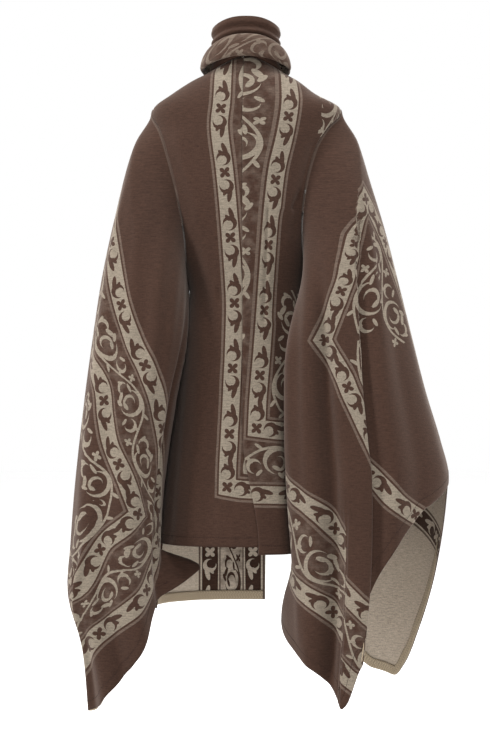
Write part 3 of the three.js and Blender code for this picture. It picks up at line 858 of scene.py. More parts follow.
def wing_map(name, angles, grid, flat):
    """The border coordinates of a wing, whose pleats hide some of each border."""
    depth = -grid[..., 2]
    if name == "wing_left":
        return frame_map(LEFT_WING_FRAME, flat, depth)
    outer_fold = between(WIDE_PLEAT, "z", "at", grid[..., 2])
    inner_fold = between(NARROW_PLEAT, "z", "at", grid[..., 2])
    angles = np.broadcast_to(angles, flat.shape)
    low, high = SHOULDER_ENDS
    tucked = flat < between(SHOULDER_LINE, "depth", "at", depth)
    hidden = SHOULDER_HIDES * (1 - smooth((depth - low) / (high - low))) * tucked
    outer = frame_map(RIGHT_OUTER_FRAME, flat, depth - hidden)
    upper = frame_map(RIGHT_UPPER_FRAME, flat, depth - hidden)
    middle = frame_map(RIGHT_MIDDLE_BORDER, flat, depth)
    lower = frame_map(RIGHT_LOWER_BORDER, flat, depth)
    below = (depth > LOWER_FROM + LOWER_SLOPE * flat)[..., None]
    maps = []
    for out, up, mid, low in zip(outer, upper, middle, lower):
        whole = np.where(below, np.where((angles > inner_fold)[..., None], low, mid), up)
        beyond = (angles < outer_fold) & (angles > OUTER_ENDS)
        maps.append(np.where(beyond[..., None], out, whole))
    return maps


# ---- sheets of cloth from grids of points ----
# At a seam the cloth's edge is rolled in this deep, over this width, and its allowance is turned
# in. Round the neck and the armholes these shares of an edge's place say where that ends.
ROLL_WIDTH = 3.0
ROLL_DEPTH = 1.2
WING_ROLL_DEPTH = 0.6
ALLOWANCE = 11.0
UNDER_EDGE = (0.88, 0.86, 1.0)
WING_UNDER_EDGE = (0.82, 0.84, 1.012)
# This many of a wing's first rows lie in the seam.
SEAM_ROWS = 3
# Rises above a hem are measured square to it, but no slope is taken as steeper than this.
HEM_SLANT = 0.3
# A tape's lower edge is this far above the hem, and its face has this many rows.
TAPE_RISE = 0.3
TAPE_ROWS = 6


def outward_of(grid):
    """The outward direction at each point of a grid."""
    down = np.gradient(grid, axis=0)
    across = np.gradient(grid, axis=1)
    normal = np.cross(down, across)
    return normal / np.maximum(np.linalg.norm(normal, axis=-1, keepdims=True), 1e-9)


def rolled(grid, edges, depth=ROLL_DEPTH, under=UNDER_EDGE):
    """The grid with its named edges rolled in, as at a seam, and their allowance turned in."""
    outward = outward_of(grid)
    roll = np.zeros(grid.shape[:2])
    for edge in edges:
        run = {"first": grid, "last": grid[:, ::-1], "top": grid.transpose(1, 0, 2)}[edge]
        near = (1 - smooth(run_along(run, 1) / ROLL_WIDTH)) * depth
        roll = np.maximum(roll, {"first": near, "last": near[:, ::-1], "top": near.T}[edge])
    grid = grid - outward * roll[..., None]
    for edge in edges:
        if edge == "top":
            grid = np.concatenate((grid[:1] * under, grid))
            outward = np.concatenate((outward[:1], outward))
        elif edge == "first":
            grid = np.concatenate((grid[:, :1] - outward[:, :1] * ALLOWANCE, grid), 1)
            outward = np.concatenate((outward[:, :1], outward), 1)
        else:
            grid = np.concatenate((grid, grid[:, -1:] - outward[:, -1:] * ALLOWANCE), 1)
            outward = np.concatenate((outward, outward[:, -1:]), 1)
    return grid


def run_across(grid, start=0):
    """The level distance along each row from one of its columns, in millimetres."""
    run = run_along(grid[..., :2], 1)
    return run - run[:, [start]]


def above_hem(grid, rises, low=0, high=None):
    """Points of a sheet at some rises above its last row, and the outward directions there."""
    outward = outward_of(grid)[::-1, low:high]
    part = grid[::-1, low:high]
    run = run_along(part, 0)
    edge = np.gradient(part[0], axis=0)
    climb = part[3] - part[0]
    crossed = np.linalg.norm(np.cross(edge, climb), axis=-1)
    lengths = np.linalg.norm(edge, axis=-1) * np.linalg.norm(climb, axis=-1)
    run *= np.clip(crossed / np.maximum(lengths, 1e-9), HEM_SLANT, 1)
    points = np.empty((len(rises), part.shape[1], 3))
    facing = np.empty_like(points)
    for column in range(part.shape[1]):
        for axis in range(3):
            points[:, column, axis] = np.interp(rises, run[:, column], part[:, column, axis])
            facing[:, column, axis] = np.interp(rises, run[:, column], outward[:, column, axis])
    return points, facing / np.linalg.norm(facing, axis=-1, keepdims=True)


def binding(grid, low, high, width, depth):
    """A tape's face along the inside of a sheet's hem, between two of its columns."""
    points, facing = above_hem(grid, np.linspace(width, TAPE_RISE, TAPE_ROWS), low, high)
    return (points - facing * depth)[:, ::-1]


def stitch_places(points, facing, pitch, length):
    """Where the stitches of a row lie: each one's turn and place, at an even pitch."""
    run = run_along(points, 0)
    places = []
    for at in np.arange(pitch, run[-1] - pitch, pitch):
        here, ahead, out = (
            Vector([np.interp(where, run, values[:, axis]) for axis in range(3)])
            for where, values in ((at, points), (at + length / 2, points), (at, facing))
        )
        forward = (ahead - here).normalized()
        side = out.normalized().cross(forward).normalized()
        turn = Matrix((forward, side, forward.cross(side))).transposed().to_4x4()
        places.append(Matrix.Translation(here * MM) @ turn)
    return places


def cloth_sheet(name, grid, thickness, materials, maps, seam_rows=0):
    """A sheet of cloth: the grid is its face, and its thickness goes in behind it.

    A sheet whose first rows are turned in at a seam closes into a ring, and both sides of those
    rows show the darker edge material, as painted shade in the seam's gap.
    """
    rows, columns = grid.shape[:2]
    count = columns - 1 if seam_rows else columns
    r, c = np.meshgrid(np.arange(rows - 1), np.arange(columns - 1), indexing="ij")
    row = np.stack((r, r + 1, r + 1, r), -1).reshape(-1, 4)
    column = np.stack((c, c, c + 1, c + 1), -1).reshape(-1, 4)
    quads = row * count + column % count
    mesh = bpy.data.meshes.new(name)
    mesh.from_pydata((grid[:, :count] * MM).reshape(-1, 3).tolist(), [], quads.tolist())
    for label, values in maps.items():
        layer = mesh.uv_layers.new(name=label)
        picked = values[row, column].astype(np.float32)
        layer.data.foreach_set("uv", picked.reshape(-1))
    for material in materials:
        mesh.materials.append(material)
    # Painted shade: the rows turned in at the seam show the darker edge material on both sides, for
    # the shade in the gap at the armhole.
    seam_shade_index = np.where(r < seam_rows, 2, 0).astype(np.int32)
    mesh.polygons.foreach_set("material_index", seam_shade_index.reshape(-1))
    mesh.shade_smooth()
    piece = bpy.data.objects.new(name, mesh)
    bpy.context.scene.collection.objects.link(piece)
    solidify = piece.modifiers.new("Thickness", "SOLIDIFY")
    solidify.thickness = thickness
    solidify.offset = -1
    solidify.material_offset = 1
    solidify.material_offset_rim = 2
    return piece


# ---- shader maths ----
def maths(operation, reflected=False):
    """A method of Value that adds one Math node."""

    def method(self, *others, clamp=False):
        values = [*others, self] if reflected else [self, *others]
        settings = {"operation": operation, "use_clamp": clamp}
        return self.shader.node("ShaderNodeMath", settings, dict(enumerate(values)))

    return method


class Value:
    """A socket in a material, whose arithmetic adds Math nodes."""

    def __init__(self, shader, socket):
        self.shader = shader
        self.socket = socket

    __add__ = __radd__ = maths("ADD")
    __sub__ = maths("SUBTRACT")
    __rsub__ = maths("SUBTRACT", reflected=True)
    __mul__ = __rmul__ = maths("MULTIPLY")
    __truediv__ = maths("DIVIDE")
    __rtruediv__ = maths("DIVIDE", reflected=True)
    __mod__ = maths("FLOORED_MODULO")
    __rmod__ = maths("FLOORED_MODULO", reflected=True)
    __abs__ = maths("ABSOLUTE")
    below = maths("LESS_THAN")
    above = maths("GREATER_THAN")
    most = maths("MAXIMUM")
    least = maths("MINIMUM")
    floor = maths("FLOOR")
    sine = maths("SINE")
    cosine = maths("COSINE")

    def within(self, low, high):
        return self.above(low) * self.below(high)


class Shader:
    """A material's node tree, with one method for any node."""

    def __init__(self, name):
        self.material = bpy.data.materials.new(name)
        self.material.use_nodes = True
        self.tree = self.material.node_tree
        self.tree.nodes.clear()

    def node(self, kind, settings=None, inputs=None, output=0):
        made = self.tree.nodes.new(kind)
        for key, value in (settings or {}).items():
            setattr(made, key, value)
        for key, value in (inputs or {}).items():
            socket = made.inputs[key]
            if isinstance(value, Value):
                self.tree.links.new(value.socket, socket)
            else:
                socket.default_value = value
        return Value(self, made.outputs[output]) if made.outputs else None

    def vector(self, operation, point, x, y, output=0):
        inputs = {0: point, 1: (x, y, 0.0)}
        return self.node("ShaderNodeVectorMath", {"operation": operation}, inputs, output)

    def parts(self, point):
        """A point's first two coordinates."""
        first = self.node("ShaderNodeSeparateXYZ", {}, {0: point})
        return first, Value(self, first.socket.node.outputs[1])

    def map(self, name):
        """The two coordinates of one of the piece's own UV maps."""
        return self.parts(self.node("ShaderNodeUVMap", {"uv_map": name}))

    def point(self, x, y, z=0.0):
        return self.node("ShaderNodeCombineXYZ", {}, {0: x, 1: y, 2: z})

    def far(self, point, x, y):
        """How far a point lies from a place."""
        return self.vector("DISTANCE", point, x, y, output=1)

    def sickle(self, point, outer, radius, inner, cut):
        """A round stroke that swells and thins: a disc less another that is off its centre."""
        return self.far(point, *outer).below(radius) * self.far(point, *inner).above(cut)

    def leaf(self, point, x, y, turn, long, wide):
        """A lens-like leaf, which is an ellipse turned by some degrees."""
        inputs = {0: point, 1: (x, y, 0.0), 2: (0.0, 0.0, math.radians(turn)), 3: (long, wide, 1.0)}
        placed = self.node("ShaderNodeMapping", {"vector_type": "TEXTURE"}, inputs)
        return self.far(placed, 0.0, 0.0).below(1.0)

    def star(self, point, x, y, core, petal):
        """A flower of four petals."""
        placed = self.vector("SUBTRACT", point, x, y)
        along, across = self.parts(placed)
        far = self.far(placed, 0.0, 0.0)
        return far.below(abs(along * across * (2 * petal)) / (far * far + 0.01) + core)

    def pick(self, test, no, yes):
        settings = {"data_type": "FLOAT", "clamp_factor": True}
        return self.node("ShaderNodeMix", settings, {0: test, 2: no, 3: yes})

    def noise(self, vector, scale, detail=2.0, roughness=0.5):
        inputs = {"Vector": vector, "Scale": scale, "Detail": detail, "Roughness": roughness}
        return self.node("ShaderNodeTexNoise", {}, inputs)

    def blend(self, factor, a, b, kind="MIX"):
        """Colour a where factor is 0 and colour b, or both together, where it is 1."""
        settings = {"data_type": "RGBA", "blend_type": kind, "clamp_factor": True}
        return self.node("ShaderNodeMix", settings, {0: factor, 6: a, 7: b}, output=2)

    def surface(self, colour, roughness, inputs=None):
        """Finishes the material with a colour, a roughness and any other inputs."""
        inputs = {"Base Color": colour, "Roughness": roughness, **(inputs or {})}
        surface = self.node("ShaderNodeBsdfPrincipled", {}, inputs)
        self.node("ShaderNodeOutputMaterial", {}, {"Surface": surface})
        return self.material

    def cloth(self, colour, height, sheen_tint, roughness, bump, sheen):
        """Finishes the material as a matt cloth."""
        raised = {"Strength": bump, "Distance": 0.001, "Height": height}
        nap = {
            "Normal": self.node("ShaderNodeBump", {}, raised),
            "Specular IOR Level": 0.08,
            "Sheen Weight": sheen,
            "Sheen Roughness": 0.5,
            "Sheen Tint": sheen_tint,
        }
        return self.surface(colour, roughness, nap)


def linear(colour, alpha=1.0):
    """A colour picked on screen as the linear light that shaders use."""
    return tuple(
        channel / 12.92 if channel <= 0.04045 else ((channel + 0.055) / 1.055) ** 2.4
        for channel in colour
    ) + (alpha,)


# ---- the coat's cloths ----
BAND_HALF = 18.5
LINE_HALF = 22.5
OUTLINE_HALF = 27.5
STRIP_HALF = 44.0
# The first flower past a corner, and where a corner's spray has its middle and its start, past
# a second band and past a lone one.
FIRST_FLOWER = 114
SPRAY_ACROSS = SECOND_AT + 66
SPRAY_START = 22
LONE_SPRAY_ACROSS = LONE_FROM + BAND_AT + 68
LONE_SPRAY_START = 42
# How fine the weave's noise is, in repeats a metre: ribs across and down, nap, mottle, shade.
RIBS = (70, 330)
NAP = 300.0
MOTTLE = 42.0
SHADE = 5.0
# The mottle shows where its noise is over a level, with some contrast and strength, and each
# noise darkens or lightens the cloth by its own share and raises it by another.
MOTTLE_LEVEL = 0.42
MOTTLE_CONTRAST = 3.2
MOTTLE_STRENGTH = 0.75
RIB_SHADE = 1.1
SLOW_SHADE = 0.35
YARN_HEIGHT = 0.8
FIGURE_HEIGHT = 0.4
# The tape's ribs and its zigzags, in repeats a metre, how far a zigzag shifts the ribs, and how
# much darker the tape and the thread are between their yarns.
TAPE_RIBS = 160
TAPE_ZIGZAGS = 90
TAPE_SHIFT = 1.6
TAPE_DARK = 0.72
THREAD_DARK = 0.6
PALE_SHEEN = (1.0, 0.95, 0.9, 1.0)
WOOL_SHEEN = (1.0, 0.85, 0.75, 1.0)


def band_motif(shader, along, across):
    """The dark motif of a light band: a flower between two commas that curl round a ball."""
    at = shader.point(abs(along), across)
    comma = shader.far(at, 31, 1).below(15.5) * shader.far(at, 27, -3).above(10.5)
    comma = comma.most(shader.leaf(at, 49, 6, -14, 16, 5.2))
    comma = comma.most(shader.leaf(at, 43, -3, -35, 8, 4))
    return comma.most(shader.star(at, 0, 0, 4.5, 9))


def scroll_motif(shader, along, across):
    """The light motif of a strip: a running stem with curled branches and leaves each side."""
    cell = along / REPEAT
    flip = 1 - cell.floor() % 2 * 2
    x = along % REPEAT - REPEAT / 2
    y = across * flip
    at = shader.point(x, y)
    bend = (x * (math.pi / REPEAT)).cosine() * -35
    shapes = [
        abs(y - bend).below(3),
        shader.sickle(at, (2, -5), 31, (6.5, -0.5), 27),
        shader.sickle(at, (8, 1), 17, (4, -1), 13.5),
        shader.leaf(at, 0, 12, 25, 10, 4.6),
        shader.leaf(at, 24, 22, -32, 13, 5.4),
        shader.leaf(at, 12, 28, 35, 10, 4.6),
        shader.sickle(at, (45, 12), 15, (41, 8), 12.5),
        shader.leaf(at, 58, 14, 62, 9, 4),
        shader.leaf(at, 38, -9, 12, 11, 3.6),
        shader.sickle(at, (-48, 10), 16, (-43.5, 13), 13),
        shader.leaf(at, -36, 24, -48, 9, 3.8),
        shader.leaf(at, -57, -2, 40, 9, 3.6),
        shader.star(at, 57, -27, 3.5, 7),
        shader.leaf(at, -37, -33, 32, 10, 3.6),
    ]
    return functools.reduce(Value.most, shapes)


def jacquard(shader):
    """Where the weave shows its light yarn and its middle one, from the border coordinates."""
    first, second = shader.map("border")
    along_first, along_second = shader.map("along")
    chosen = first.below(second)
    across = shader.pick(chosen, second, first)
    along = shader.pick(chosen, along_second, along_first)
    lone = across.above(LONE_ABOVE)
    inner = across.above(STRIP_AT)
    centre = shader.pick(inner, BAND_AT, SECOND_AT)
    corner = shader.pick(lone, centre, BAND_AT)
    centre = shader.pick(lone, centre, LONE_FROM + BAND_AT)
    off = across - centre
    half = abs(off)
    past = along - corner
    cell = (past - FIRST_FLOWER + REPEAT / 2) % REPEAT - REPEAT / 2
    motif = band_motif(shader, shader.pick(past.below(CORNER_RUN), cell, past), off)
    light = half.below(BAND_HALF) * (1 - motif)
    outline = half.within(LINE_HALF, OUTLINE_HALF)
    strip = abs(across - STRIP_AT).below(STRIP_HALF)
    spray_across = across - shader.pick(lone, SPRAY_ACROSS, LONE_SPRAY_ACROSS)
    spray_along = past - shader.pick(lone, SPRAY_START, LONE_SPRAY_START)
    spray = abs(spray_across).below(STRIP_HALF) * spray_along.within(0, 2 * REPEAT)
    scroll = scroll_motif(
        shader,
        shader.pick(strip, spray_along, along),
        shader.pick(strip, spray_across, across - STRIP_AT),
    )
    light = light.most(scroll * strip.most(spray))
    return light, outline, strip


def wool(name, ground, figure, outline):
    """Jacquard wool: its ground, its figure and the outlines between them."""
    shader = Shader(name)
    light, edge, strip = jacquard(shader)
    u, v = shader.map("weave")
    flat = shader.point(u, v)
    across, down = RIBS
    ribs = shader.noise(shader.point(u * across, v * down), 1.0, 3.0, 0.6)
    nap = shader.noise(flat, NAP, 3.0, 0.65)
    cloud = shader.noise(flat, MOTTLE, 2.0, 0.55)
    broad = shader.noise(flat, SHADE)
    patches = ((cloud - MOTTLE_LEVEL) * MOTTLE_CONTRAST).least(1, clamp=True)
    mottle = strip * patches * MOTTLE_STRENGTH
    middle = edge.most(mottle)
    colour = shader.blend(middle, linear(ground), linear(outline))
    colour = shader.blend(light, colour, linear(figure))
    shade = (ribs - 0.5) * RIB_SHADE + (nap - 0.5) * 1.0 + (broad - 0.5) * SLOW_SHADE + 1.0
    colour = shader.blend(1.0, colour, shader.point(shade, shade, shade), "MULTIPLY")
    height = nap * YARN_HEIGHT + ribs * YARN_HEIGHT + light * FIGURE_HEIGHT
    return shader.cloth(colour, height, WOOL_SHEEN, roughness=0.95, bump=0.6, sheen=0.12)


def cut_edge(name, colours):
    shader = Shader(name)
    at = shader.node("ShaderNodeTexCoord", output="Object")
    nap = shader.noise(at, 700.0)
    colour = shader.blend(nap, linear(colours.outline), linear(colours.field))
    return shader.cloth(colour, nap, PALE_SHEEN, roughness=0.95, bump=0.6, sheen=0.2)


def tape_weave(name, colours):
    """A herringbone tape."""
    shader = Shader(name)
    u, v = shader.map("weave")
    slant = abs((v * TAPE_ZIGZAGS) % 1 - 0.5) * TAPE_SHIFT
    rib = ((u * TAPE_RIBS + slant) * 2 * math.pi).sine() * 0.5 + 0.5
    nap = shader.noise(shader.point(u, v), 500.0)
    shade = rib * 0.6 + nap * 0.4
    dark = linear([c * TAPE_DARK for c in colours.tape])
    colour = shader.blend(shade, dark, linear(colours.tape))
    height = rib * 0.8 + nap * 0.2
    return shader.cloth(colour, height, PALE_SHEEN, roughness=0.85, bump=0.5, sheen=0.1)


def thread(name, colours):
    shader = Shader(name)
    at = shader.node("ShaderNodeTexCoord", output="Object")
    twist = shader.noise(at, 1500.0, 1.0, 0.5)
    dark = linear([c * THREAD_DARK for c in colours.thread])
    colour = shader.blend(twist, dark, linear(colours.thread))
    return shader.cloth(colour, twist, (1.0, 1.0, 1.0, 1.0), roughness=0.7, bump=0.3, sheen=0.0)


def kept(name, make, *colours):
    """A material by name, made when it is first wanted."""
    return bpy.data.materials.get(name) or make(name, *colours)


def cloths(colours):
    """The face, reverse and edge materials, which the sheets share."""
    return [
        kept("wool_face", wool, colours.field, colours.band, colours.outline),
        kept("wool_reverse", wool, colours.reverse, colours.field, colours.outline),
        kept("cut_edge", cut_edge, colours),
    ]


# ---- the add-on's settings ----
class CoatSizes(bpy.types.PropertyGroup):
    """Sizes of the coat's cloth and trim."""

    cloth: bpy.props.FloatProperty(
        name="Cloth thickness", description="How thick the wool cloth is",
        default=0.0025, min=0.001, max=0.003, unit="LENGTH",
    )
    tape_width: bpy.props.FloatProperty(
        name="Tape width", description="How wide the tape inside the hems is",
        default=0.022, min=0.01, max=0.03, unit="LENGTH",
    )
    tape: bpy.props.FloatProperty(
        name="Tape thickness", description="How thick the tape inside the hems is",
        default=0.0012, min=0.0006, max=0.0015, unit="LENGTH",
    )
    stitch: bpy.props.FloatProperty(
        name="Stitch length", description="How long each stitch above the hems is",
        default=0.0034, min=0.002, max=0.005, unit="LENGTH",
    )
    pitch: bpy.props.FloatProperty(
        name="Stitch pitch", description="From one stitch to the next",
        default=0.0046, min=0.003, max=0.01, unit="LENGTH",
    )
    stitch_rise: bpy.props.FloatProperty(
        name="Stitching above hem", description="How far above the hem the stitching runs",
        default=0.02, min=0.01, max=0.04, unit="LENGTH",
    )


class CoatColours(bpy.types.PropertyGroup):
    """Colours of the coat's cloth and trim."""

    field: bpy.props.FloatVectorProperty(
        name="Field", description="Main colour of the cloth's face",
        default=(0.194, 0.132, 0.103), min=0.0, max=1.0, subtype="COLOR_GAMMA",
    )
    band: bpy.props.FloatVectorProperty(
        name="Band", description="Light colour of the borders and scrolls",
        default=(0.42, 0.385, 0.34), min=0.0, max=1.0, subtype="COLOR_GAMMA",
    )
    outline: bpy.props.FloatVectorProperty(
        name="Outline", description="Middle colour of the borders' outlines and mottled strips",
        default=(0.3, 0.252, 0.22), min=0.0, max=1.0, subtype="COLOR_GAMMA",
    )
    tape: bpy.props.FloatVectorProperty(
        name="Tape", description="Colour of the tape inside the hems",
        default=(0.62, 0.56, 0.47), min=0.0, max=1.0, subtype="COLOR_GAMMA",
    )
    thread: bpy.props.FloatVectorProperty(
        name="Thread", description="Colour of the stitching above the hems",
        default=(0.16, 0.11, 0.09), min=0.0, max=1.0, subtype="COLOR_GAMMA",
    )
    reverse: bpy.props.FloatVectorProperty(
        name="Reverse", description="Main colour of the cloth's back",
        default=(0.6, 0.555, 0.5), min=0.0, max=1.0, subtype="COLOR_GAMMA",
    )


# ---- the pieces ----
# The collar's cloth: a place with no border for its stand, where the fall's edge lies across the
# strip of scrolls, and how far the fall's two colours are drawn together.
COLLAR_PLAIN = 500.0
COLLAR_ACROSS = STRIP_AT - 52
COLLAR_GROUND = 0.25
COLLAR_FIGURE = 0.35


def finish_sheet(piece, node):
    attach(piece, "root")
    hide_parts(node)


def cloth_maps(across, down, border, along):
    return {"weave": np.stack((across, down), -1) * MM, "border": border, "along": along}


def wool_sheet(context, node, grid, maps, seam_rows=0, materials=None):
    """Makes one sheet of the wool in the place of its solid; a sheet with seam rows is a ring."""
    sizes, colours = context.scene.coat_sizes, context.scene.coat_colours
    materials = materials or cloths(colours)
    piece = cloth_sheet(node + "_cloth", grid, sizes.cloth, materials, maps, seam_rows)
    finish_sheet(piece, node)
    return {"FINISHED"}


def make_panel(context, name, edges):
    grid = rolled(PANELS[name](), edges)
    centre = 1 if name in ("back_right", "front_left") else -2
    across = grid[:, [centre], 0] + run_across(grid, centre) * (-1 if "back" in name else 1)
    depth = -grid[..., 2]
    maps = cloth_maps(across, depth, *frame_map(PANEL_BORDERS[name], across, depth))
    return wool_sheet(context, name, grid, maps)


class CoatBackLeft(bpy.types.Operator):
    """The left back panel, which passes under the right one in the vent"""

    bl_idname = "coat.back_left"
    bl_label = "Left Back"

    def execute(self, context):
        return make_panel(
            context, "back_left",
            edges=["first", "last"],
        )


class CoatBackRight(bpy.types.Operator):
    """The right back panel, whose vent edge laps over the left one"""

    bl_idname = "coat.back_right"
    bl_label = "Right Back"

    def execute(self, context):
        return make_panel(
            context, "back_right",
            edges=["first", "last"],
        )


class CoatFrontLeft(bpy.types.Operator):
    """The left front panel, which lies under the right one"""

    bl_idname = "coat.front_left"
    bl_label = "Left Front"

    def execute(self, context):
        return make_panel(
            context, "front_left",
            edges=["last"],
        )


class CoatFrontRight(bpy.types.Operator):
    """The right front panel, which laps over the left one"""

    bl_idname = "coat.front_right"
    bl_label = "Right Front"

    def execute(self, context):
        return make_panel(
            context, "front_right",
            edges=["first"],
        )


def make_wing(context, name):
    wing = WINGS[name]
    grid, across, angles = wing_grid(wing)
    maps = cloth_maps(across, -grid[..., 2], *wing_map(name, angles, grid, across))
    if wing.sign < 0:
        grid = grid[:, ::-1]
        maps = {label: values[:, ::-1] for label, values in maps.items()}
    grid = rolled(grid, ["top"], WING_ROLL_DEPTH, WING_UNDER_EDGE)
    maps = {label: np.concatenate((values[:1], values)) for label, values in maps.items()}
    return wool_sheet(context, name, grid, maps, SEAM_ROWS)


class CoatWingLeft(bpy.types.Operator):
    """The left cape sleeve, which hangs open at its hem"""

    bl_idname = "coat.wing_left"
    bl_label = "Left Cape Sleeve"

    def execute(self, context):
        return make_wing(
            context, "wing_left",
        )


class CoatWingRight(bpy.types.Operator):
    """The right cape sleeve, with the pleat that its folds stack into"""

    bl_idname = "coat.wing_right"
    bl_label = "Right Cape Sleeve"

    def execute(self, context):
        return make_wing(
            context, "wing_right",
        )


class CoatCollar(bpy.types.Operator):
    """The collar: its stand round the neck and the fall folded over it"""

    bl_idname = "coat.collar"
    bl_label = "Collar"

    def execute(self, context):
        colours = context.scene.coat_colours
        for name, grid, rests_on, flat, area in (
            ("collar_stand", stand_grid(), ["back_left", "back_right"], (0.46, 0.09), 0.036),
            ("collar_fall", fall_grid(), ["collar_stand"], (0.5, 0.08), 0.034),
        ):
            fall = name == "collar_fall"
            grid = grid if fall else rolled(grid, ["top"])
            along = run_across(grid)
            down = run_across(grid[..., [2, 2, 0]].transpose(1, 0, 2) * (1, 0, 0)).T
            plain = np.full_like(along, COLLAR_PLAIN)
            across = COLLAR_ACROSS + down if fall else plain
            border = np.stack((across, plain + FAR), -1)
            maps = cloth_maps(along, down, border, np.stack((along, along), -1))
            materials = cloths(colours)
            if fall:
                shades = zip(colours.field, colours.outline, colours.band)
                ground, figure = zip(
                    *((mix(a, b, COLLAR_GROUND), mix(b, c, COLLAR_FIGURE)) for a, b, c in shades)
                )
                materials[0] = wool("wool_collar", ground, figure, colours.outline)
            wool_sheet(context, name, grid, maps, materials=materials)
        return {"FINISHED"}


# ---- the tapes and the stitching ----
TAPE_GAP = 0.7
STITCH_WIDE = 0.0009
STITCH_HIGH = 0.0005
STITCH_BEVEL = 0.00016
STITCH_DIP = 0.00015
STITCH_TAPER = (1.0, 0.6, 0.5)
STITCH_GAP = 0.15
TAPES = table(
    "node sheet low high",
    ("tape_wing_left_back", "wing_left", 10, 141),
    ("tape_wing_left_front", "wing_left", -155, -15),
    ("tape_wing_right_back", "wing_right", 10, 150),
    ("tape_wing_right_front", "wing_right", -120, -12),
    ("tape_front_left", "front_left", None, None),
)
STITCHING = table(
    "name sheet low high",
    ("stitching_back_left", "back_left", None, None),
    ("stitching_back_right", "back_right", None, None),
    ("stitching_front_left", "front_left", None, None),
    ("stitching_front_right", "front_right", None, None),
    ("stitching_wing_left_back", "wing_left", 4, 150),
    ("stitching_wing_left_front", "wing_left", -176, -4),
    ("stitching_wing_right_back", "wing_right", 4, 176),
    ("stitching_wing_right_front", "wing_right", -176, -4),
)


def hem_part(row):
    """The sheet that a table's row names, and the columns that it covers there."""
    if row.sheet in PANELS:
        return PANELS[row.sheet](), 2, -2
    wing = WINGS[row.sheet]
    grid, _, angles = wing_grid(wing)
    low, high = np.searchsorted(angles, (row.low, row.high))
    if wing.sign < 0:
        return grid[:, ::-1], len(angles) - high, len(angles) - low
    return grid, low, high


class CoatTapes(bpy.types.Operator):
    """The herringbone tapes that finish the inside of the hems"""

    bl_idname = "coat.tapes"
    bl_label = "Hem Tapes"

    def execute(self, context):
        sizes, colours = context.scene.coat_sizes, context.scene.coat_colours
        material = kept("tape_weave", tape_weave, colours)
        for row in TAPES:
            grid, low, high = hem_part(row)
            depth = (sizes.cloth + sizes.tape) / MM + TAPE_GAP
            face = binding(grid, low, high, sizes.tape_width / MM, depth)
            run = run_along(face, 1)
            up = np.linspace(sizes.tape_width / MM, 0, len(face))[:, None]
            weave = np.stack(np.broadcast_arrays(run, up), -1) * MM
            name = row.node + "_weave"
            piece = cloth_sheet(name, face, sizes.tape, [material] * 3, {"weave": weave})
            finish_sheet(piece, row.node)
        return {"FINISHED"}


def model_stitch(sizes, material):
    """One stitch: a short thread that dips at both ends."""
    bpy.ops.mesh.primitive_cube_add(size=1)
    stitch = bpy.context.object
    bpy.ops.object.mode_set(mode="EDIT")
    bpy.ops.transform.resize(value=(sizes.stitch, STITCH_WIDE, STITCH_HIGH))
    bpy.ops.mesh.bevel(offset=STITCH_BEVEL, segments=1, affect="EDGES")
    bpy.ops.mesh.select_all(action="DESELECT")
    bpy.ops.object.mode_set(mode="OBJECT")
    ends = [face for face in stitch.data.polygons if abs(face.normal.x) > 0.9]
    for face in ends:
        face.select = True
    bpy.ops.object.mode_set(mode="EDIT")
    bpy.ops.transform.resize(value=STITCH_TAPER)
    bpy.ops.transform.translate(value=(0.0, 0.0, -STITCH_DIP))
    bpy.ops.object.mode_set(mode="OBJECT")
    stitch.data.materials.append(material)
    return stitch


class CoatStitching(bpy.types.Operator):
    """The rows of stitches above the hems"""

    bl_idname = "coat.stitching"
    bl_label = "Hem Stitching"

    def execute(self, context):
        sizes, colours = context.scene.coat_sizes, context.scene.coat_colours
        stitch = model_stitch(sizes, kept("thread", thread, colours))
        for row in STITCHING:
            grid, low, high = hem_part(row)
            points, facing = above_hem(grid, [sizes.stitch_rise / MM], low, high)
            points = points + facing * STITCH_GAP
            places = stitch_places(points[0], facing[0], sizes.pitch / MM, sizes.stitch / MM)
            bpy.ops.object.select_all(action="DESELECT")
            for place in places:
                copy = stitch.copy()
                copy.data = stitch.data.copy()
                copy.matrix_world = place
                context.scene.collection.objects.link(copy)
                copy.select_set(True)
                context.view_layer.objects.active = copy
            bpy.ops.object.join()
            bpy.ops.object.transform_apply(location=True, rotation=True, scale=True)
            piece = context.object
            piece.name = row.name
            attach(piece, "root")
        bpy.data.objects.remove(stitch)
        return {"FINISHED"}


# ---- the stage ----
EYE = (0.0022, 4.03, -0.6424)
LENS = 89.17
FLOOR_Z = -1.56
FLOOR_SIZE = 24
FLOOR_SHADES = ((0.95, 0.95, 0.95, 1.0), (0.98, 0.98, 0.98, 1.0))
LIGHTS_AIM = (0, 0, -0.6)
LIGHTS = table(
    "name place size power",
    ("key", (3.6, 1.7, 1.5), 0.8, 210),
    ("fill", (-3.8, 0.7, 1.0), 1.4, 90),
    ("front", (-1.2, -3.5, 1.2), 2.0, 110),
    ("top", (0.0, 0.8, 2.6), 1.0, 100),
)


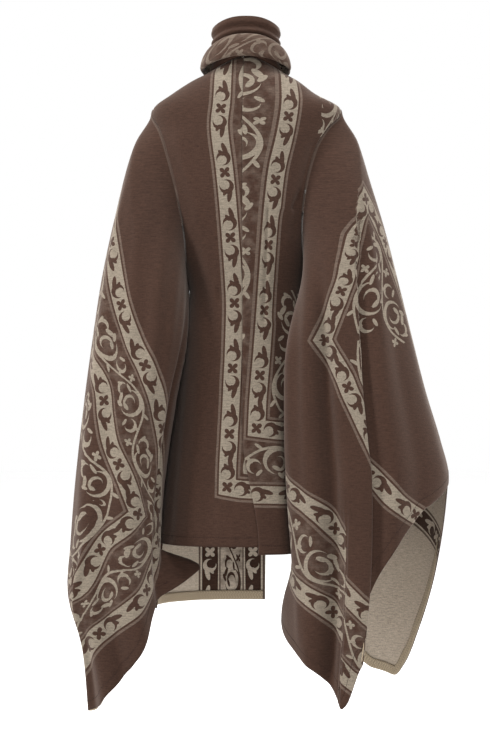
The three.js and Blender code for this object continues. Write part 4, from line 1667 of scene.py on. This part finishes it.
class CoatStage(bpy.types.Operator):
    """A pale backdrop, soft studio lights and the camera behind the coat"""

    bl_idname = "coat.stage"
    bl_label = "Stage"

    def execute(self, context):
        scene = context.scene
        scene.view_settings.view_transform = "Standard"
        world = bpy.data.worlds.new("studio")
        scene.world = world
        world.use_nodes = True
        background = world.node_tree.nodes["Background"]
        background.inputs["Color"].default_value = (1.0, 1.0, 1.0, 1.0)
        background.inputs["Strength"].default_value = 1.0
        bpy.ops.mesh.primitive_plane_add(size=FLOOR_SIZE, location=(0, 0, FLOOR_Z))
        floor = context.object
        floor.name = "floor"
        shader = Shader("floor_paint")
        at = shader.node("ShaderNodeTexCoord", output="Object")
        mottle = shader.noise(at, 3.0)
        colour = shader.blend(mottle, *FLOOR_SHADES)
        floor.data.materials.append(shader.surface(colour, roughness=0.9))
        for row in LIGHTS:
            bpy.ops.object.light_add(type="AREA", location=row.place)
            light = context.object
            light.name = row.name
            light.data.size = row.size
            light.data.energy = row.power
            aim = Vector(LIGHTS_AIM) - Vector(row.place)
            light.rotation_euler = aim.to_track_quat("-Z", "Y").to_euler()
        bpy.ops.object.camera_add(location=EYE, rotation=(math.pi / 2, 0, math.pi))
        camera = context.object
        camera.data.lens = LENS
        camera.data.sensor_width = 36
        camera.data.dof.use_dof = False
        scene.camera = camera
        return {"FINISHED"}


# ---- the panel and the run ----
PIECES = (
    CoatBackLeft,
    CoatBackRight,
    CoatFrontLeft,
    CoatFrontRight,
    CoatWingLeft,
    CoatWingRight,
    CoatCollar,
    CoatTapes,
    CoatStitching,
    CoatStage,
)


class CoatPanel(bpy.types.Panel):
    """Lists the coat's pieces, sizes and colours"""

    bl_idname = "COAT_PT_pieces"
    bl_label = "Wool Coat"
    bl_space_type = "VIEW_3D"
    bl_region_type = "UI"
    bl_category = "Coat"

    def draw(self, context):
        for group in (context.scene.coat_sizes, context.scene.coat_colours):
            for setting in group.__annotations__:
                self.layout.prop(group, setting)
        for operator in PIECES:
            self.layout.operator(operator.bl_idname)


CLASSES = (CoatSizes, CoatColours, *PIECES, CoatPanel)


def register():
    for made in CLASSES:
        bpy.utils.register_class(made)
    bpy.types.Scene.coat_sizes = bpy.props.PointerProperty(type=CoatSizes)
    bpy.types.Scene.coat_colours = bpy.props.PointerProperty(type=CoatColours)


def unregister():
    del bpy.types.Scene.coat_colours
    del bpy.types.Scene.coat_sizes
    for made in reversed(CLASSES):
        bpy.utils.unregister_class(made)


def main():
    register()
    for made in PIECES:
        group, name = made.bl_idname.split(".")
        bpy.ops.object.select_all(action="DESELECT")
        getattr(getattr(bpy.ops, group), name)()


if __name__ == "__main__":
    main()
